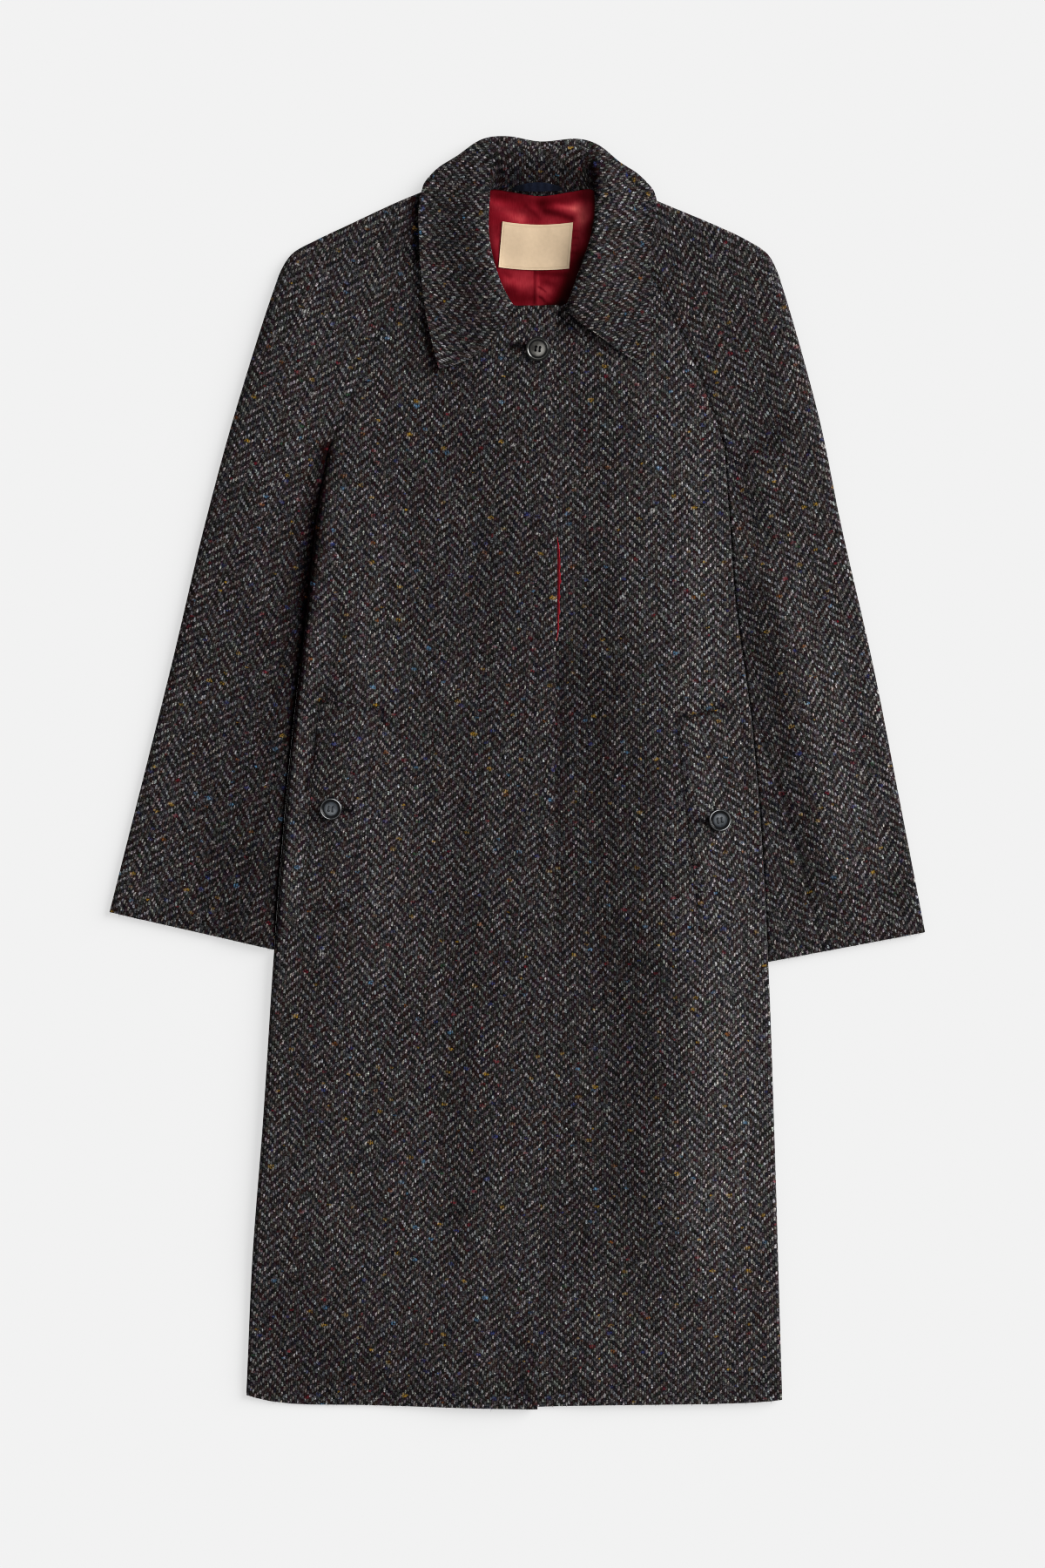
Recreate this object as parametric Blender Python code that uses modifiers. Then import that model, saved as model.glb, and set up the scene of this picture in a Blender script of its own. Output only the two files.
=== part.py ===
# Raglan coat laid flat on its back, front up.
# +X is the wearer's left, +Y runs towards the collar, +Z is up, and the cloth rests on z = 0.
# Sizes are in millimetres and become metres where the meshes are made.

import math

import bmesh
import bpy
import numpy as np
from mathutils.bvhtree import BVHTree

MM = 0.001
ORIGIN = np.array([0.0, -1.283, 0.0])

# Walls
TWEED = 2.2
COLLAR_CLOTH = 2.5
WELT_CLOTH = 3.0
LINING_CLOTH = 1.0
LABEL_CLOTH = 1.0
TAPE_CLOTH = 1.2
SEAM = 0.3
RIM_EASE = 0.35

# Levels of the middle of a wall, from the surface that the coat lies on
FLOOR_LAYER = TWEED / 2
TOP_LAYER = 7.0
FOLD_LEVEL = (FLOOR_LAYER + TOP_LAYER) / 2
BODY_RISE = 1.2
CUFF_DROP = 0.6
OVERLAP_RISE = 2.5
UNDERLAP_DROP = 1.4
COLLAR_FLOOR = 1.3
LEAF_LEVEL = 12.0

# Plan sizes
FOLD_RADIUS = 3.2
UNDERARM_TUCK = 30.0
SIDE_CLEARANCE = 1.0
OVERLAP_WIDTH = 58.0
OVERLAP_EASE = 45.0
UNDERLAP_EASE = 60.0
BACK_HEM_RISE = 3.5
ROLL_RADIUS = 4.0

# The back of the neck lies over the collar's fall
NECK_CENTRE_X = 20.0
NECK_LIFT = 3.0
NECK_LIFT_TOP = 1.5
NECK_LIFT_FOLD = 2.2
NECK_LIFT_FROM_Y = 468.0
NECK_LIFT_RAMP = 34.0
NECK_LIFT_HALF_WIDTH = 112.0
NECK_LIFT_FADE = 45.0

# The grids of the cloth panels, by name
PANELS = {}

# Grid densities
FINE = 160
BEND_WEIGHT = 55.0
RAGLAN_STATIONS = (0, 20, 40, 60, 80, 92, 97, 100)
BODY_STATIONS = (104, 112, 122, 132, 142, 152, 162, 172, 182, 192, 200)
SLEEVE_STATIONS = (104, 112, 124, 136, 149, 153, 158, 166, 177, 188, 200)


def table(columns, *rows):
    # Named columns of numbers, with a row for each section.
    return dict(zip(columns.split(), np.array(rows, float).T))


# Seams and silhouettes in plan. Station 0 is at the neck, 100 at the underarm, 200 at the hem or cuff.
RAGLAN_FRONT = {
    "right": table(
        "station x y",
        (0, -33.0, 493.0),
        (20, -62.0, 485.0),
        (40, -93.0, 467.0),
        (60, -115.0, 431.0),
        (80, -140.0, 375.0),
        (100, -172.8, 296.8),
    ),
    "left": table(
        "station x y",
        (0, 77.5, 493.0),
        (20, 98.0, 483.0),
        (40, 119.0, 462.0),
        (60, 138.0, 425.0),
        (80, 163.0, 373.0),
        (100, 190.0, 300.0),
    ),
}
RAGLAN_BACK = {
    "right": table(
        "station x y",
        (0, -27.0, 533.0),
        (20, -52.0, 512.0),
        (40, -82.0, 480.0),
        (60, -112.0, 430.0),
        (80, -141.0, 372.0),
        (100, -172.8, 296.8),
    ),
    "left": table(
        "station x y",
        (0, 70.0, 533.0),
        (20, 92.0, 512.0),
        (40, 117.0, 480.0),
        (60, 141.0, 430.0),
        (80, 165.0, 371.0),
        (100, 190.0, 300.0),
    ),
}
SIDE = {
    "right": table(
        "station x y",
        (100, -172.8, 296.8),
        (106, -182.5, 244.8),
        (117, -193.6, 148.8),
        (131, -207.2, 28.8),
        (153, -223.2, -163.2),
        (171, -233.5, -320.0),
        (185, -243.0, -443.0),
        (200, -248.8, -573.6),
    ),
    "left": table(
        "station x y",
        (100, 190.0, 300.0),
        (106, 194.0, 247.0),
        (117, 201.5, 148.8),
        (127, 212.8, 66.0),
        (136, 220.8, -14.0),
        (154, 230.4, -174.4),
        (172, 236.0, -330.0),
        (200, 243.2, -576.0),
    ),
}
CUFF_STATION = {"right": 153, "left": 154}
OVERARM = {
    "right": table(
        "station x y",
        (0, -34.0, 540.0),
        (14, -62.0, 540.0),
        (30, -104.8, 524.8),
        (46, -156.8, 500.8),
        (56, -184.0, 488.0),
        (64, -206.5, 475.5),
        (70, -215.5, 463.0),
        (78, -224.0, 441.0),
        (100, -259.0, 330.0),
        (122, -286.4, 228.8),
        (150, -316.8, 100.8),
        (178, -348.8, -27.2),
        (200, -374.4, -128.8),
    ),
    "left": table(
        "station x y",
        (0, 79.0, 539.0),
        (14, 103.0, 536.0),
        (30, 130.0, 523.0),
        (46, 183.2, 500.8),
        (56, 208.8, 488.8),
        (64, 229.5, 475.5),
        (70, 237.0, 463.0),
        (78, 244.0, 443.0),
        (100, 277.0, 325.0),
        (120, 296.8, 228.8),
        (147, 326.0, 100.8),
        (175, 351.2, -27.2),
        (200, 374.4, -147.2),
    ),
}
FRONT_EDGE = table(
    "station x y",
    (0, 38.4, 428.0),
    (40, 33.0, 390.0),
    (70, 31.2, 352.0),
    (100, 34.0, 297.0),
    (114, 36.8, 196.8),
    (132, 34.4, 20.8),
    (150, 33.0, -131.2),
    (159, 26.0, -211.2),
    (172, 22.4, -331.2),
    (200, 18.4, -585.6),
)
NECKLINE = {
    "right": table(
        "station x y",
        (0, 38.4, 428.0),
        (30, 8.0, 427.5),
        (45, -4.5, 428.5),
        (60, -13.5, 440.0),
        (80, -25.0, 465.0),
        (100, -33.0, 493.0),
    ),
    "left": table(
        "station x y",
        (0, -19.6, 424.0),
        (35, 20.0, 423.5),
        (55, 44.0, 425.0),
        (70, 56.0, 440.0),
        (85, 68.0, 466.0),
        (100, 77.5, 493.0),
    ),
}
BACK_NECK = table(
    "station x y",
    (0, -27.0, 533.0),
    (25, -6.0, 531.6),
    (50, 21.5, 530.0),
    (75, 49.0, 531.6),
    (100, 70.0, 533.0),
)
INSEAM = {
    "right": table("station offset", (100, 0), (150, 0), (156, 6), (175, 26), (200, 54)),
    "left": table("station offset", (100, 0), (150, 0), (156, 6), (175, 28), (200, 50)),
}

# Broad soft folds of the upper layer: a ridge along a line, or a trough where the height is negative.
FOLDS = {
    "front_right": table(
        "x0 y0 x1 y1 width height",
        (-150.0, 230.0, -185.0, -470.0, 42.0, 2.2),
        (-60.0, 120.0, -95.0, -320.0, 36.0, 1.4),
        (-20.0, -200.0, -60.0, -420.0, 26.0, -1.0),
    ),
    "front_left": table(
        "x0 y0 x1 y1 width height",
        (125.0, 310.0, 138.0, 60.0, 46.0, 4.2),
        (138.0, 60.0, 160.0, -480.0, 46.0, 4.6),
        (66.0, 100.0, 100.0, -420.0, 26.0, -1.2),
    ),
    "sleeve_right": table(
        "x0 y0 x1 y1 width height",
        (-205.0, 420.0, -300.0, -90.0, 40.0, 1.6),
    ),
    "sleeve_left": table(
        "x0 y0 x1 y1 width height",
        (222.0, 420.0, 262.0, 150.0, 34.0, 2.0),
        (268.0, 110.0, 312.0, -110.0, 36.0, 2.6),
    ),
}

# Collar sections from the wearer's right front end round the back to the left front end. The roll is
# the inner edge that shows, the fold is where the fall turns under by so many degrees, the edge is its
# free end.
COLLAR = table(
    "roll_x roll_y roll_z fold_x fold_y edge_x edge_y turn bow neck_x neck_y neck_z",
    (-3.0, 425.0, 18.0, -72.0, 369.5, -72.0, 369.5, 0, 12, -5.5, 424.0, 12.0),
    (-9.0, 434.0, 19.5, -79.0, 397.0, -79.0, 397.0, 0, 7, -11.5, 433.5, 12.0),
    (-16.0, 448.0, 21.2, -84.5, 424.0, -84.5, 424.0, 0, 3, -18.5, 447.5, 12.0),
    (-22.5, 468.0, 22.6, -88.0, 456.0, -88.0, 456.0, 0, 0, -25.0, 468.0, 11.2),
    (-26.8, 490.0, 23.0, -90.0, 486.0, -90.0, 486.0, 0, 0, -29.3, 490.0, 11.0),
    (-27.2, 508.0, 23.0, -90.5, 510.0, -90.5, 510.0, 0, 0, -29.5, 508.0, 11.0),
    (-26.3, 526.0, 22.0, -88.5, 530.5, -88.5, 530.5, 30, 0, -28.5, 524.5, 10.6),
    (-25.6, 544.0, 19.0, -71.0, 553.0, -73.0, 541.5, 180, 0, -27.5, 531.5, 9.0),
    (-24.8, 557.0, 15.8, -54.0, 564.5, -52.0, 531.0, 180, 0, -22.0, 534.6, 7.0),
    (-20.0, 567.0, 13.0, -32.0, 579.0, -30.0, 521.0, 180, 0, -14.5, 534.2, 6.0),
    (-7.0, 570.5, 12.0, -9.0, 581.8, -7.0, 515.0, 180, 0, -5.0, 533.0, 5.7),
    (21.5, 571.0, 11.8, 21.5, 579.0, 21.5, 512.0, 180, 0, 21.5, 531.2, 5.6),
    (51.0, 570.5, 12.0, 54.0, 581.2, 50.0, 515.0, 180, 0, 48.0, 533.0, 5.7),
    (65.0, 567.0, 13.0, 74.0, 575.5, 72.0, 521.0, 180, 0, 58.5, 534.2, 6.0),
    (70.0, 557.0, 15.8, 93.5, 558.5, 91.0, 531.0, 180, 0, 66.5, 534.6, 7.0),
    (71.3, 544.0, 19.0, 112.0, 546.0, 113.0, 536.5, 180, 0, 72.5, 531.5, 9.0),
    (72.0, 526.0, 22.0, 127.0, 527.5, 127.0, 527.5, 30, 0, 74.5, 524.5, 10.6),
    (71.6, 508.0, 23.0, 126.0, 508.0, 126.0, 508.0, 0, 0, 74.0, 508.0, 11.0),
    (70.0, 488.0, 23.0, 123.0, 484.0, 123.0, 484.0, 0, 0, 72.5, 488.0, 11.0),
    (64.5, 467.0, 22.6, 122.5, 455.0, 122.5, 455.0, 0, 0, 67.0, 467.0, 11.0),
    (57.5, 447.0, 21.2, 122.5, 424.0, 122.5, 424.0, 0, 0, 60.0, 447.0, 10.4),
    (50.5, 433.0, 19.5, 120.0, 396.0, 120.0, 396.0, 0, 0, 53.0, 432.5, 10.0),
    (44.5, 423.0, 18.0, 114.5, 372.0, 114.5, 372.0, 0, 1, 47.0, 422.0, 10.0),
)
STAND_LIES_BACK = (530.0, 40.0)

# Welts by their corners: top and bottom of the sewn edge, then of the free edge
WELTS = {
    "right": table("x y", (-124.8, 57.0), (-156.8, -127.0), (-181.0, 66.5), (-199.0, -127.0)),
    "left": table("x y", (145.6, 51.0), (168.0, -147.0), (204.0, 57.5), (213.5, -131.0)),
}
BUTTONS = {
    "button_neck": (18.9, 387.5, 22.4),
    "button_pocket_right": (-170.7, -34.1, 20.0),
    "button_pocket_left": (185.8, -44.4, 20.2),
}
BUTTON_PANELS = {
    "button_neck": ("front_right", TWEED),
    "button_pocket_right": ("pocket_welt_right", WELT_CLOTH),
    "button_pocket_left": ("pocket_welt_left", WELT_CLOTH),
}
BUTTON_PROFILE = (
    (0, 0.44),
    (0.62, 0.44),
    (0.72, 0.66),
    (0.87, 0.78),
    (0.97, 0.64),
    (1, 0.4),
    (0.9, 0.06),
    (0.8, 0),
    (0, 0),
)
BUTTON_HEIGHT = 4.6
BUTTON_SIDES = 18

LINING_STATIONS = (0, 20, 40, 60, 80)
LINING_INSET = 1
LABEL = table("x y", (-13.6, 504.8), (51.2, 504.0), (-17.2, 463.0), (47.6, 460.8))
FLY_LINING = (219.0, 121.0, 14.0, 1.8)
HANGER_LOOP = {"ends": (-5.5, 45.0), "low": (534.6, 532.4), "high": (536.4, 543.4), "bulge": 1.0}

COLOURS = {
    "tweed": ((0.035, 0.031, 0.032, 1.0), 0.92),
    "lining": ((0.22, 0.012, 0.022, 1.0), 0.4),
    "label": ((0.45, 0.33, 0.17, 1.0), 0.7),
    "tape": ((0.012, 0.018, 0.04, 1.0), 0.7),
    "horn": ((0.05, 0.05, 0.055, 1.0), 0.25),
}


def smooth(value):
    t = np.clip(value, 0.0, 1.0)
    return t * t * (3.0 - 2.0 * t)


def along(rows, stations, column):
    # A column read off a smooth curve through a table's rows.
    keys = rows["station"]
    values = rows[column]
    slopes = np.gradient(values, keys)
    at = np.asarray(stations, float)
    index = np.clip(np.searchsorted(keys, at, side="right") - 1, 0, len(keys) - 2)
    step = keys[index + 1] - keys[index]
    t = (at - keys[index]) / step
    start = (1 + 2 * t) * (1 - t) ** 2 * values[index] + t * (1 - t) ** 2 * step * slopes[index]
    end = t**2 * (3 - 2 * t) * values[index + 1] - t**2 * (1 - t) * step * slopes[index + 1]
    return start + end


def place(rows, station):
    return np.array([along(rows, station, "x"), along(rows, station, "y")])


def fractions(count):
    # From 0 to 1, closer together at both ends.
    return 0.5 - 0.5 * np.cos(np.linspace(0.0, math.pi, count))


def neck_lift(points):
    across = np.abs(points[..., 0] - NECK_CENTRE_X) - NECK_LIFT_HALF_WIDTH
    up = smooth((points[..., 1] - NECK_LIFT_FROM_Y) / NECK_LIFT_RAMP)
    return up * (1.0 - smooth(across / NECK_LIFT_FADE))


def floor_height(points):
    return FLOOR_LAYER + NECK_LIFT * neck_lift(points)


def fold_level(points):
    return FOLD_LEVEL + NECK_LIFT_FOLD * neck_lift(points)


def fold_heights(points, piece):
    rows = FOLDS[piece]
    total = np.zeros(points.shape[:-1])
    for x0, y0, x1, y1, width, height in zip(*rows.values()):
        start = np.array([x0, y0])
        run = np.array([x1 - x0, y1 - y0])
        t = np.clip((points - start) @ run / (run @ run), 0.0, 1.0)
        away = np.linalg.norm(points - start - t[..., None] * run, axis=-1)
        total += height * np.exp(-((away / width) ** 2))
    return total


def front_edge_x(points):
    order = np.argsort(FRONT_EDGE["y"])
    return np.interp(points[..., 1], FRONT_EDGE["y"][order], FRONT_EDGE["x"][order])


def front_height(points, side):
    # The fronts stand a little higher below the underarm, and the right one laps over the left.
    beyond = points[..., 0] - front_edge_x(points)
    rise = BODY_RISE * smooth((290.0 - points[..., 1]) / 90.0)
    rise += NECK_LIFT_TOP * neck_lift(points)
    if side == "right":
        lap = smooth((beyond + OVERLAP_WIDTH + OVERLAP_EASE) / OVERLAP_EASE)
        folded = (1 - lap) * fold_heights(points, "front_right")
        return TOP_LAYER + rise * (1 - lap) + OVERLAP_RISE * lap + folded
    clear = smooth(beyond / UNDERLAP_EASE)
    return TOP_LAYER - UNDERLAP_DROP * (1 - clear) + clear * (rise + fold_heights(points, "front_left"))


def sleeve_height(points, side):
    drop = CUFF_DROP * smooth((200.0 - points[..., 1]) / 300.0)
    return TOP_LAYER + NECK_LIFT_TOP * neck_lift(points) - drop + fold_heights(points, "sleeve_" + side)


def raglan_line(side, station, layer):
    # The seam line between body and sleeve, which becomes the side of the body below the underarm.
    if station <= 100:
        return place((RAGLAN_FRONT if layer == "front" else RAGLAN_BACK)[side], station)
    return place(SIDE[side], station)


def tuck(side, station, layer):
    # How far the cloth has turned down at the seam: not at all along the raglan, fully from the underarm.
    if station >= 100:
        return 1.0
    apart = raglan_line(side, station, layer) - place(SIDE[side], 100)
    return 1.0 - float(smooth(np.linalg.norm(apart) / UNDERARM_TUCK))


def set_back(point, towards, distance):
    run = towards - point
    return point + run * (distance / np.linalg.norm(run))


def seam_set_back(amount):
    # Rim to rim along a seam, wall beside wall where both cloths have turned down.
    return SEAM / 2 + amount * (TWEED / 2 + SIDE_CLEARANCE / 2)


def rolled(points, heights, levels, start_tuck, end_tuck):
    # A row of cloth whose ends turn over a round fold to the level of the seam.
    steps = np.linalg.norm(np.diff(points, axis=0), axis=1)
    run = np.concatenate([[0.0], np.cumsum(steps)])
    z = heights
    for amount, away in ((start_tuck, run), (end_tuck, run[-1] - run)):
        rise = np.sqrt(1.0 - (1.0 - np.minimum(away / FOLD_RADIUS, 1.0)) ** 2)
        z = z - amount * (z - levels) * (1.0 - rise)
    return np.column_stack([points, z])


def lengths(path):
    steps = np.linalg.norm(np.diff(path, axis=0), axis=1)
    return np.concatenate([[0.0], np.cumsum(steps)])


def cut(path, start, end):
    # The stretch of a path between two lengths.
    run = lengths(path)
    inside = (run > start) & (run < end)
    at = np.concatenate([[start], run[inside], [end]])
    return np.column_stack([np.interp(at, run, path[:, axis]) for axis in range(3)])


def spread(path, count):
    # Points along a path, closer where it bends.
    steps = np.diff(path, axis=0)
    size = np.linalg.norm(steps, axis=1)
    keep = np.concatenate([[True], size > 1e-6])
    path = path[keep]
    steps = np.diff(path, axis=0)
    size = np.linalg.norm(steps, axis=1)
    heading = steps / size[:, None]
    turn = np.arccos(np.clip((heading[1:] * heading[:-1]).sum(axis=1), -1.0, 1.0))
    measure = np.concatenate([[0.0], np.cumsum(size + BEND_WEIGHT * np.concatenate([[0.0], turn]))])
    at = np.linspace(0.0, measure[-1], count)
    return np.column_stack([np.interp(at, measure, path[:, axis]) for axis in range(3)])


def material(name):
    colour, roughness = COLOURS[name]
    made = bpy.data.materials.new(name)
    made.use_nodes = True
    shader = made.node_tree.nodes["Principled BSDF"]
    shader.inputs["Base Color"].default_value = colour
    shader.inputs["Roughness"].default_value = roughness
    return made


def add_object(name, mesh, kind):
    mesh.materials.append(material(kind))
    mesh.shade_smooth()
    made = bpy.data.objects.new(name, mesh)
    bpy.data.collections["raglan_coat"].objects.link(made)
    return made


def cloth(name, rows, thickness, kind):
    # A grid pulled through the rows and given the cloth's thickness.
    rows = np.array(rows)
    PANELS[name] = rows
    down, across = rows.shape[:2]
    sheet = bmesh.new()
    bmesh.ops.create_grid(sheet, x_segments=across - 1, y_segments=down - 1, size=1.0)
    sheet.verts.ensure_lookup_table()
    for vert, point in zip(sheet.verts, rows.reshape(-1, 3)):
        vert.co = (point - ORIGIN) * MM
    mesh = bpy.data.meshes.new(name)
    sheet.to_mesh(mesh)
    sheet.free()
    made = add_object(name, mesh, kind)
    wall = made.modifiers.new("wall", "SOLIDIFY")
    wall.thickness = thickness * MM
    wall.offset = 0.0
    return made


def front_row(side, station):
    # From the front edge out to the raglan seam or the side.
    amount = tuck(side, station, "front")
    inner = place(FRONT_EDGE, station)
    if side == "left":
        inner = inner - np.array([OVERLAP_WIDTH, 0.0])
        inner[1] = min(inner[1], NECKLINE["left"]["y"][0] - 0.6 * station)
    outer = raglan_line(side, station, "front")
    outer = set_back(outer, inner, seam_set_back(amount))
    t = fractions(FINE)[:, None]
    plan = inner + (outer - inner) * t
    bow = 1.0 - float(smooth(station / 75.0))
    if bow > 0.0:
        neck = np.array([place(NECKLINE[side], 100.0 * s) for s in t[:, 0]])
        plan = plan + bow * (neck - (neck[0] + (neck[-1] - neck[0]) * t))
    levels = fold_level(plan) + SEAM / 2 + RIM_EASE
    return rolled(plan, front_height(plan, side), levels, 0.0, amount)


def make_front(side, columns):
    rows = [spread(front_row(side, station), columns) for station in RAGLAN_STATIONS + BODY_STATIONS]
    return cloth("front_" + side, rows, TWEED, "tweed")


def back_row(station):
    # From one raglan seam or side across to the other.
    amount = tuck("right", station, "back")
    ends = [raglan_line(side, station, "back") for side in ("right", "left")]
    rise = BACK_HEM_RISE * float(smooth((station - 190.0) / 10.0))
    start, end = (point + np.array([0.0, rise]) for point in ends)
    start, end = (
        set_back(start, end, seam_set_back(amount)),
        set_back(end, start, seam_set_back(amount)),
    )
    t = fractions(FINE)[:, None]
    plan = start + (end - start) * t
    bow = 1.0 - float(smooth(station / 60.0))
    neck = np.array([place(BACK_NECK, 100.0 * s) for s in t[:, 0]])
    plan = plan + bow * (neck - (neck[0] + (neck[-1] - neck[0]) * t))
    levels = fold_level(plan) - SEAM / 2 - RIM_EASE
    return rolled(plan, floor_height(plan), levels, amount, amount)


def make_back(columns):
    rows = [spread(back_row(station), columns) for station in RAGLAN_STATIONS + BODY_STATIONS]
    return cloth("back", rows, TWEED, "tweed")


def sleeve_side_station(side, station):
    # Where a station of the sleeve lies along the side of the body.
    if station <= 100:
        return station
    return 100 + (station - 100) * (CUFF_STATION[side] - 100) / 100


def sleeve_ends(side, station, layer):
    outer = place(OVERARM[side], station)
    along_side = sleeve_side_station(side, station)
    inner = raglan_line(side, along_side, layer)
    amount = tuck(side, station, layer)
    pulled = set_back(inner, outer, seam_set_back(amount))
    return set_back(outer, inner, TWEED / 2), pulled, amount


def sleeve_rows(side, station):
    # The upper and lower walls of a flattened tube, parted at the overarm seam and the inseam.
    t = fractions(FINE)[:, None]
    outer, inner, amount = sleeve_ends(side, station, "front")
    plan = outer + (inner - outer) * t
    upper = rolled(plan, sleeve_height(plan, side), fold_level(plan) + SEAM / 2 + RIM_EASE, 1.0, amount)
    outer, inner, amount = sleeve_ends(side, station, "back")
    plan = inner + (outer - inner) * t
    lower = rolled(plan, floor_height(plan), fold_level(plan) - SEAM / 2 - RIM_EASE, amount, 1.0)
    wrap = float(along(INSEAM[side], station, "offset")) if station > 150 else 0.0
    if wrap < SEAM:
        return upper, lower
    total = lengths(upper)[-1]
    tail = cut(upper, total - wrap, total)
    upper = cut(upper, 0.0, total - wrap - SEAM - 2 * RIM_EASE)
    return upper, np.concatenate([tail, lower])


def make_sleeve(side, front_columns, back_columns):
    stations = RAGLAN_STATIONS + SLEEVE_STATIONS
    pairs = [sleeve_rows(side, station) for station in stations]
    uppers = [spread(upper, front_columns) for upper, lower in pairs]
    lowers = [spread(lower, back_columns) for upper, lower in pairs]
    cloth("sleeve_front_" + side, uppers, TWEED, "tweed")
    cloth("sleeve_back_" + side, lowers, TWEED, "tweed")


def collar_section(index):
    # One row of the collar's table, or a row between two of them.
    columns = COLLAR.values()
    keys = np.arange(len(COLLAR["turn"]), dtype=float)
    rows = dict(zip(COLLAR, columns))
    rows["station"] = keys
    section = {name: float(along(rows, index, name)) for name in COLLAR}
    section["turn"] = float(np.interp(index, keys, COLLAR["turn"]))
    section["bow"] = float(np.interp(index, keys, COLLAR["bow"]))
    return section


def roll_start(section):
    # The inner lip of the roll, the way the cloth heads there and the way the fall runs in plan.
    roll = np.array([section["roll_x"], section["roll_y"]])
    fold = np.array([section["fold_x"], section["fold_y"]])
    way = (fold - roll) / np.linalg.norm(fold - roll)
    lie = math.radians(90.0) * float(smooth((roll[1] - STAND_LIES_BACK[0]) / STAND_LIES_BACK[1]))
    level = section["roll_z"] - ROLL_RADIUS * (1.0 - math.sin(lie))
    heading = np.array([way[0] * math.sin(lie), way[1] * math.sin(lie), math.cos(lie)])
    return np.array([roll[0], roll[1], level]), heading, way, lie


def collar_path(index):
    # Over the roll, down the fall, and round the fold to the part that lies under the coat.
    section = collar_section(index)
    start, _, way, lie = roll_start(section)
    angles = np.linspace(lie, math.radians(90.0), 14)
    reach = ROLL_RADIUS * (math.cos(lie) - np.cos(angles))
    level = section["roll_z"] - ROLL_RADIUS * (1.0 - np.sin(angles))
    roll = np.column_stack([start[0] + way[0] * reach, start[1] + way[1] * reach, level])
    fold = np.array([section["fold_x"], section["fold_y"]])
    edge = np.array([section["edge_x"], section["edge_y"]])
    low = min(LEAF_LEVEL, section["roll_z"] - 0.2)
    radius = (low - COLLAR_FLOOR) / 2
    turn = math.radians(section["turn"])
    bend = min(radius, 0.5 * np.linalg.norm(fold - roll[-1][:2])) * math.sin(min(turn, math.pi / 2))
    top_end = fold - way * bend
    t = np.linspace(0.0, 1.0, 40)
    ease = 0.5 + 0.5 * np.cos(math.pi * np.minimum(t / 0.85, 1.0))
    side = np.array([-way[1], way[0]])
    side = side if side[1] < 0 else -side
    bowed = section["bow"] * 4 * t * (1 - t)
    fall = roll[-1][:2] + (top_end - roll[-1][:2]) * t[:, None] + side * bowed[:, None]
    path = [roll, np.column_stack([fall, low + (section["roll_z"] - low) * ease])[1:]]
    if turn > 0.0:
        sweep = np.linspace(0.0, turn, 24)
        back = edge - fold
        back_way = back / np.linalg.norm(back) if np.linalg.norm(back) > 1e-6 else -way
        base = top_end + ((fold + back_way * bend) - top_end) * (sweep / math.pi)[:, None]
        arc = base + (fold - base) * np.sin(np.minimum(sweep, math.pi))[:, None]
        path.append(np.column_stack([arc, low - radius * (1.0 - np.cos(sweep))])[1:])
    if section["turn"] > 179.0:
        under = path[-1][-1][:2] + (edge - path[-1][-1][:2]) * np.linspace(0.0, 1.0, 16)[1:, None]
        path.append(np.column_stack([under, np.full(15, COLLAR_FLOOR)]))
    return np.concatenate(path)


def stand_path(index):
    # From the neck seam up to just under the roll.
    section = collar_section(index)
    start, heading, _, _ = roll_start(section)
    top = start - heading * (SEAM + RIM_EASE)
    neck = np.array([section["neck_x"], section["neck_y"], section["neck_z"]])
    guide = top - heading * (0.5 * np.linalg.norm(top - neck))
    t = np.linspace(0.0, 1.0, 24)[:, None]
    return (1 - t) ** 2 * neck + 2 * t * (1 - t) * guide + t**2 * top


def collar_stations():
    count = len(COLLAR["turn"])
    corners = (6.4, 6.7, 15.3, 15.6)
    return sorted(list(range(count)) + list(corners))


def make_collar(columns, stand_columns):
    rows = [spread(collar_path(index), columns) for index in collar_stations()]
    cloth("collar", rows, COLLAR_CLOTH, "tweed")
    rows = [spread(stand_path(index), stand_columns) for index in collar_stations()]
    cloth("collar_stand", rows, COLLAR_CLOTH, "tweed")


def patch(rows, down, across):
    # Points between four corners: two at the start of the rows, then two at their end.
    corners = np.column_stack([rows["x"], rows["y"]])
    t = np.linspace(0.0, 1.0, down)[:, None, None]
    s = np.linspace(0.0, 1.0, across)[None, :, None]
    start = corners[0] + (corners[1] - corners[0]) * t
    end = corners[2] + (corners[3] - corners[2]) * t
    return start + (end - start) * s


def raised(points, heights):
    return np.concatenate([points, heights[..., None]], axis=-1)


def on_panel(name, points):
    # Height of a panel's middle under each point, read off the panel's own grid.
    rows = PANELS[name]
    down, across = rows.shape[:2]
    corner = (np.arange(down - 1)[:, None] * across + np.arange(across - 1)).reshape(-1)
    faces = [(a, a + 1, a + across + 1, a + across) for a in corner.tolist()]
    tree = BVHTree.FromPolygons([tuple(point) for point in rows.reshape(-1, 3)], faces)
    found = [tree.ray_cast((x, y, 100.0), (0.0, 0.0, -1.0))[0].z for x, y in points.reshape(-1, 2)]
    return np.array(found).reshape(points.shape[:-1])


def welt_height(points, side):
    return on_panel("front_" + side, points) + TWEED / 2 + SEAM + RIM_EASE + WELT_CLOTH / 2


def make_welt(side, down, across):
    points = patch(WELTS[side], down, across)
    return cloth("pocket_welt_" + side, raised(points, welt_height(points, side)), WELT_CLOTH, "tweed")


def make_neck_lining():
    # The back's own points about the neck, moved out.
    rows = PANELS["back"][: len(LINING_STATIONS), LINING_INSET:-LINING_INSET].copy()
    rows[..., 2] += TWEED / 2 + SEAM + LINING_CLOTH / 2
    return cloth("neck_lining", rows, LINING_CLOTH, "lining")


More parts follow.
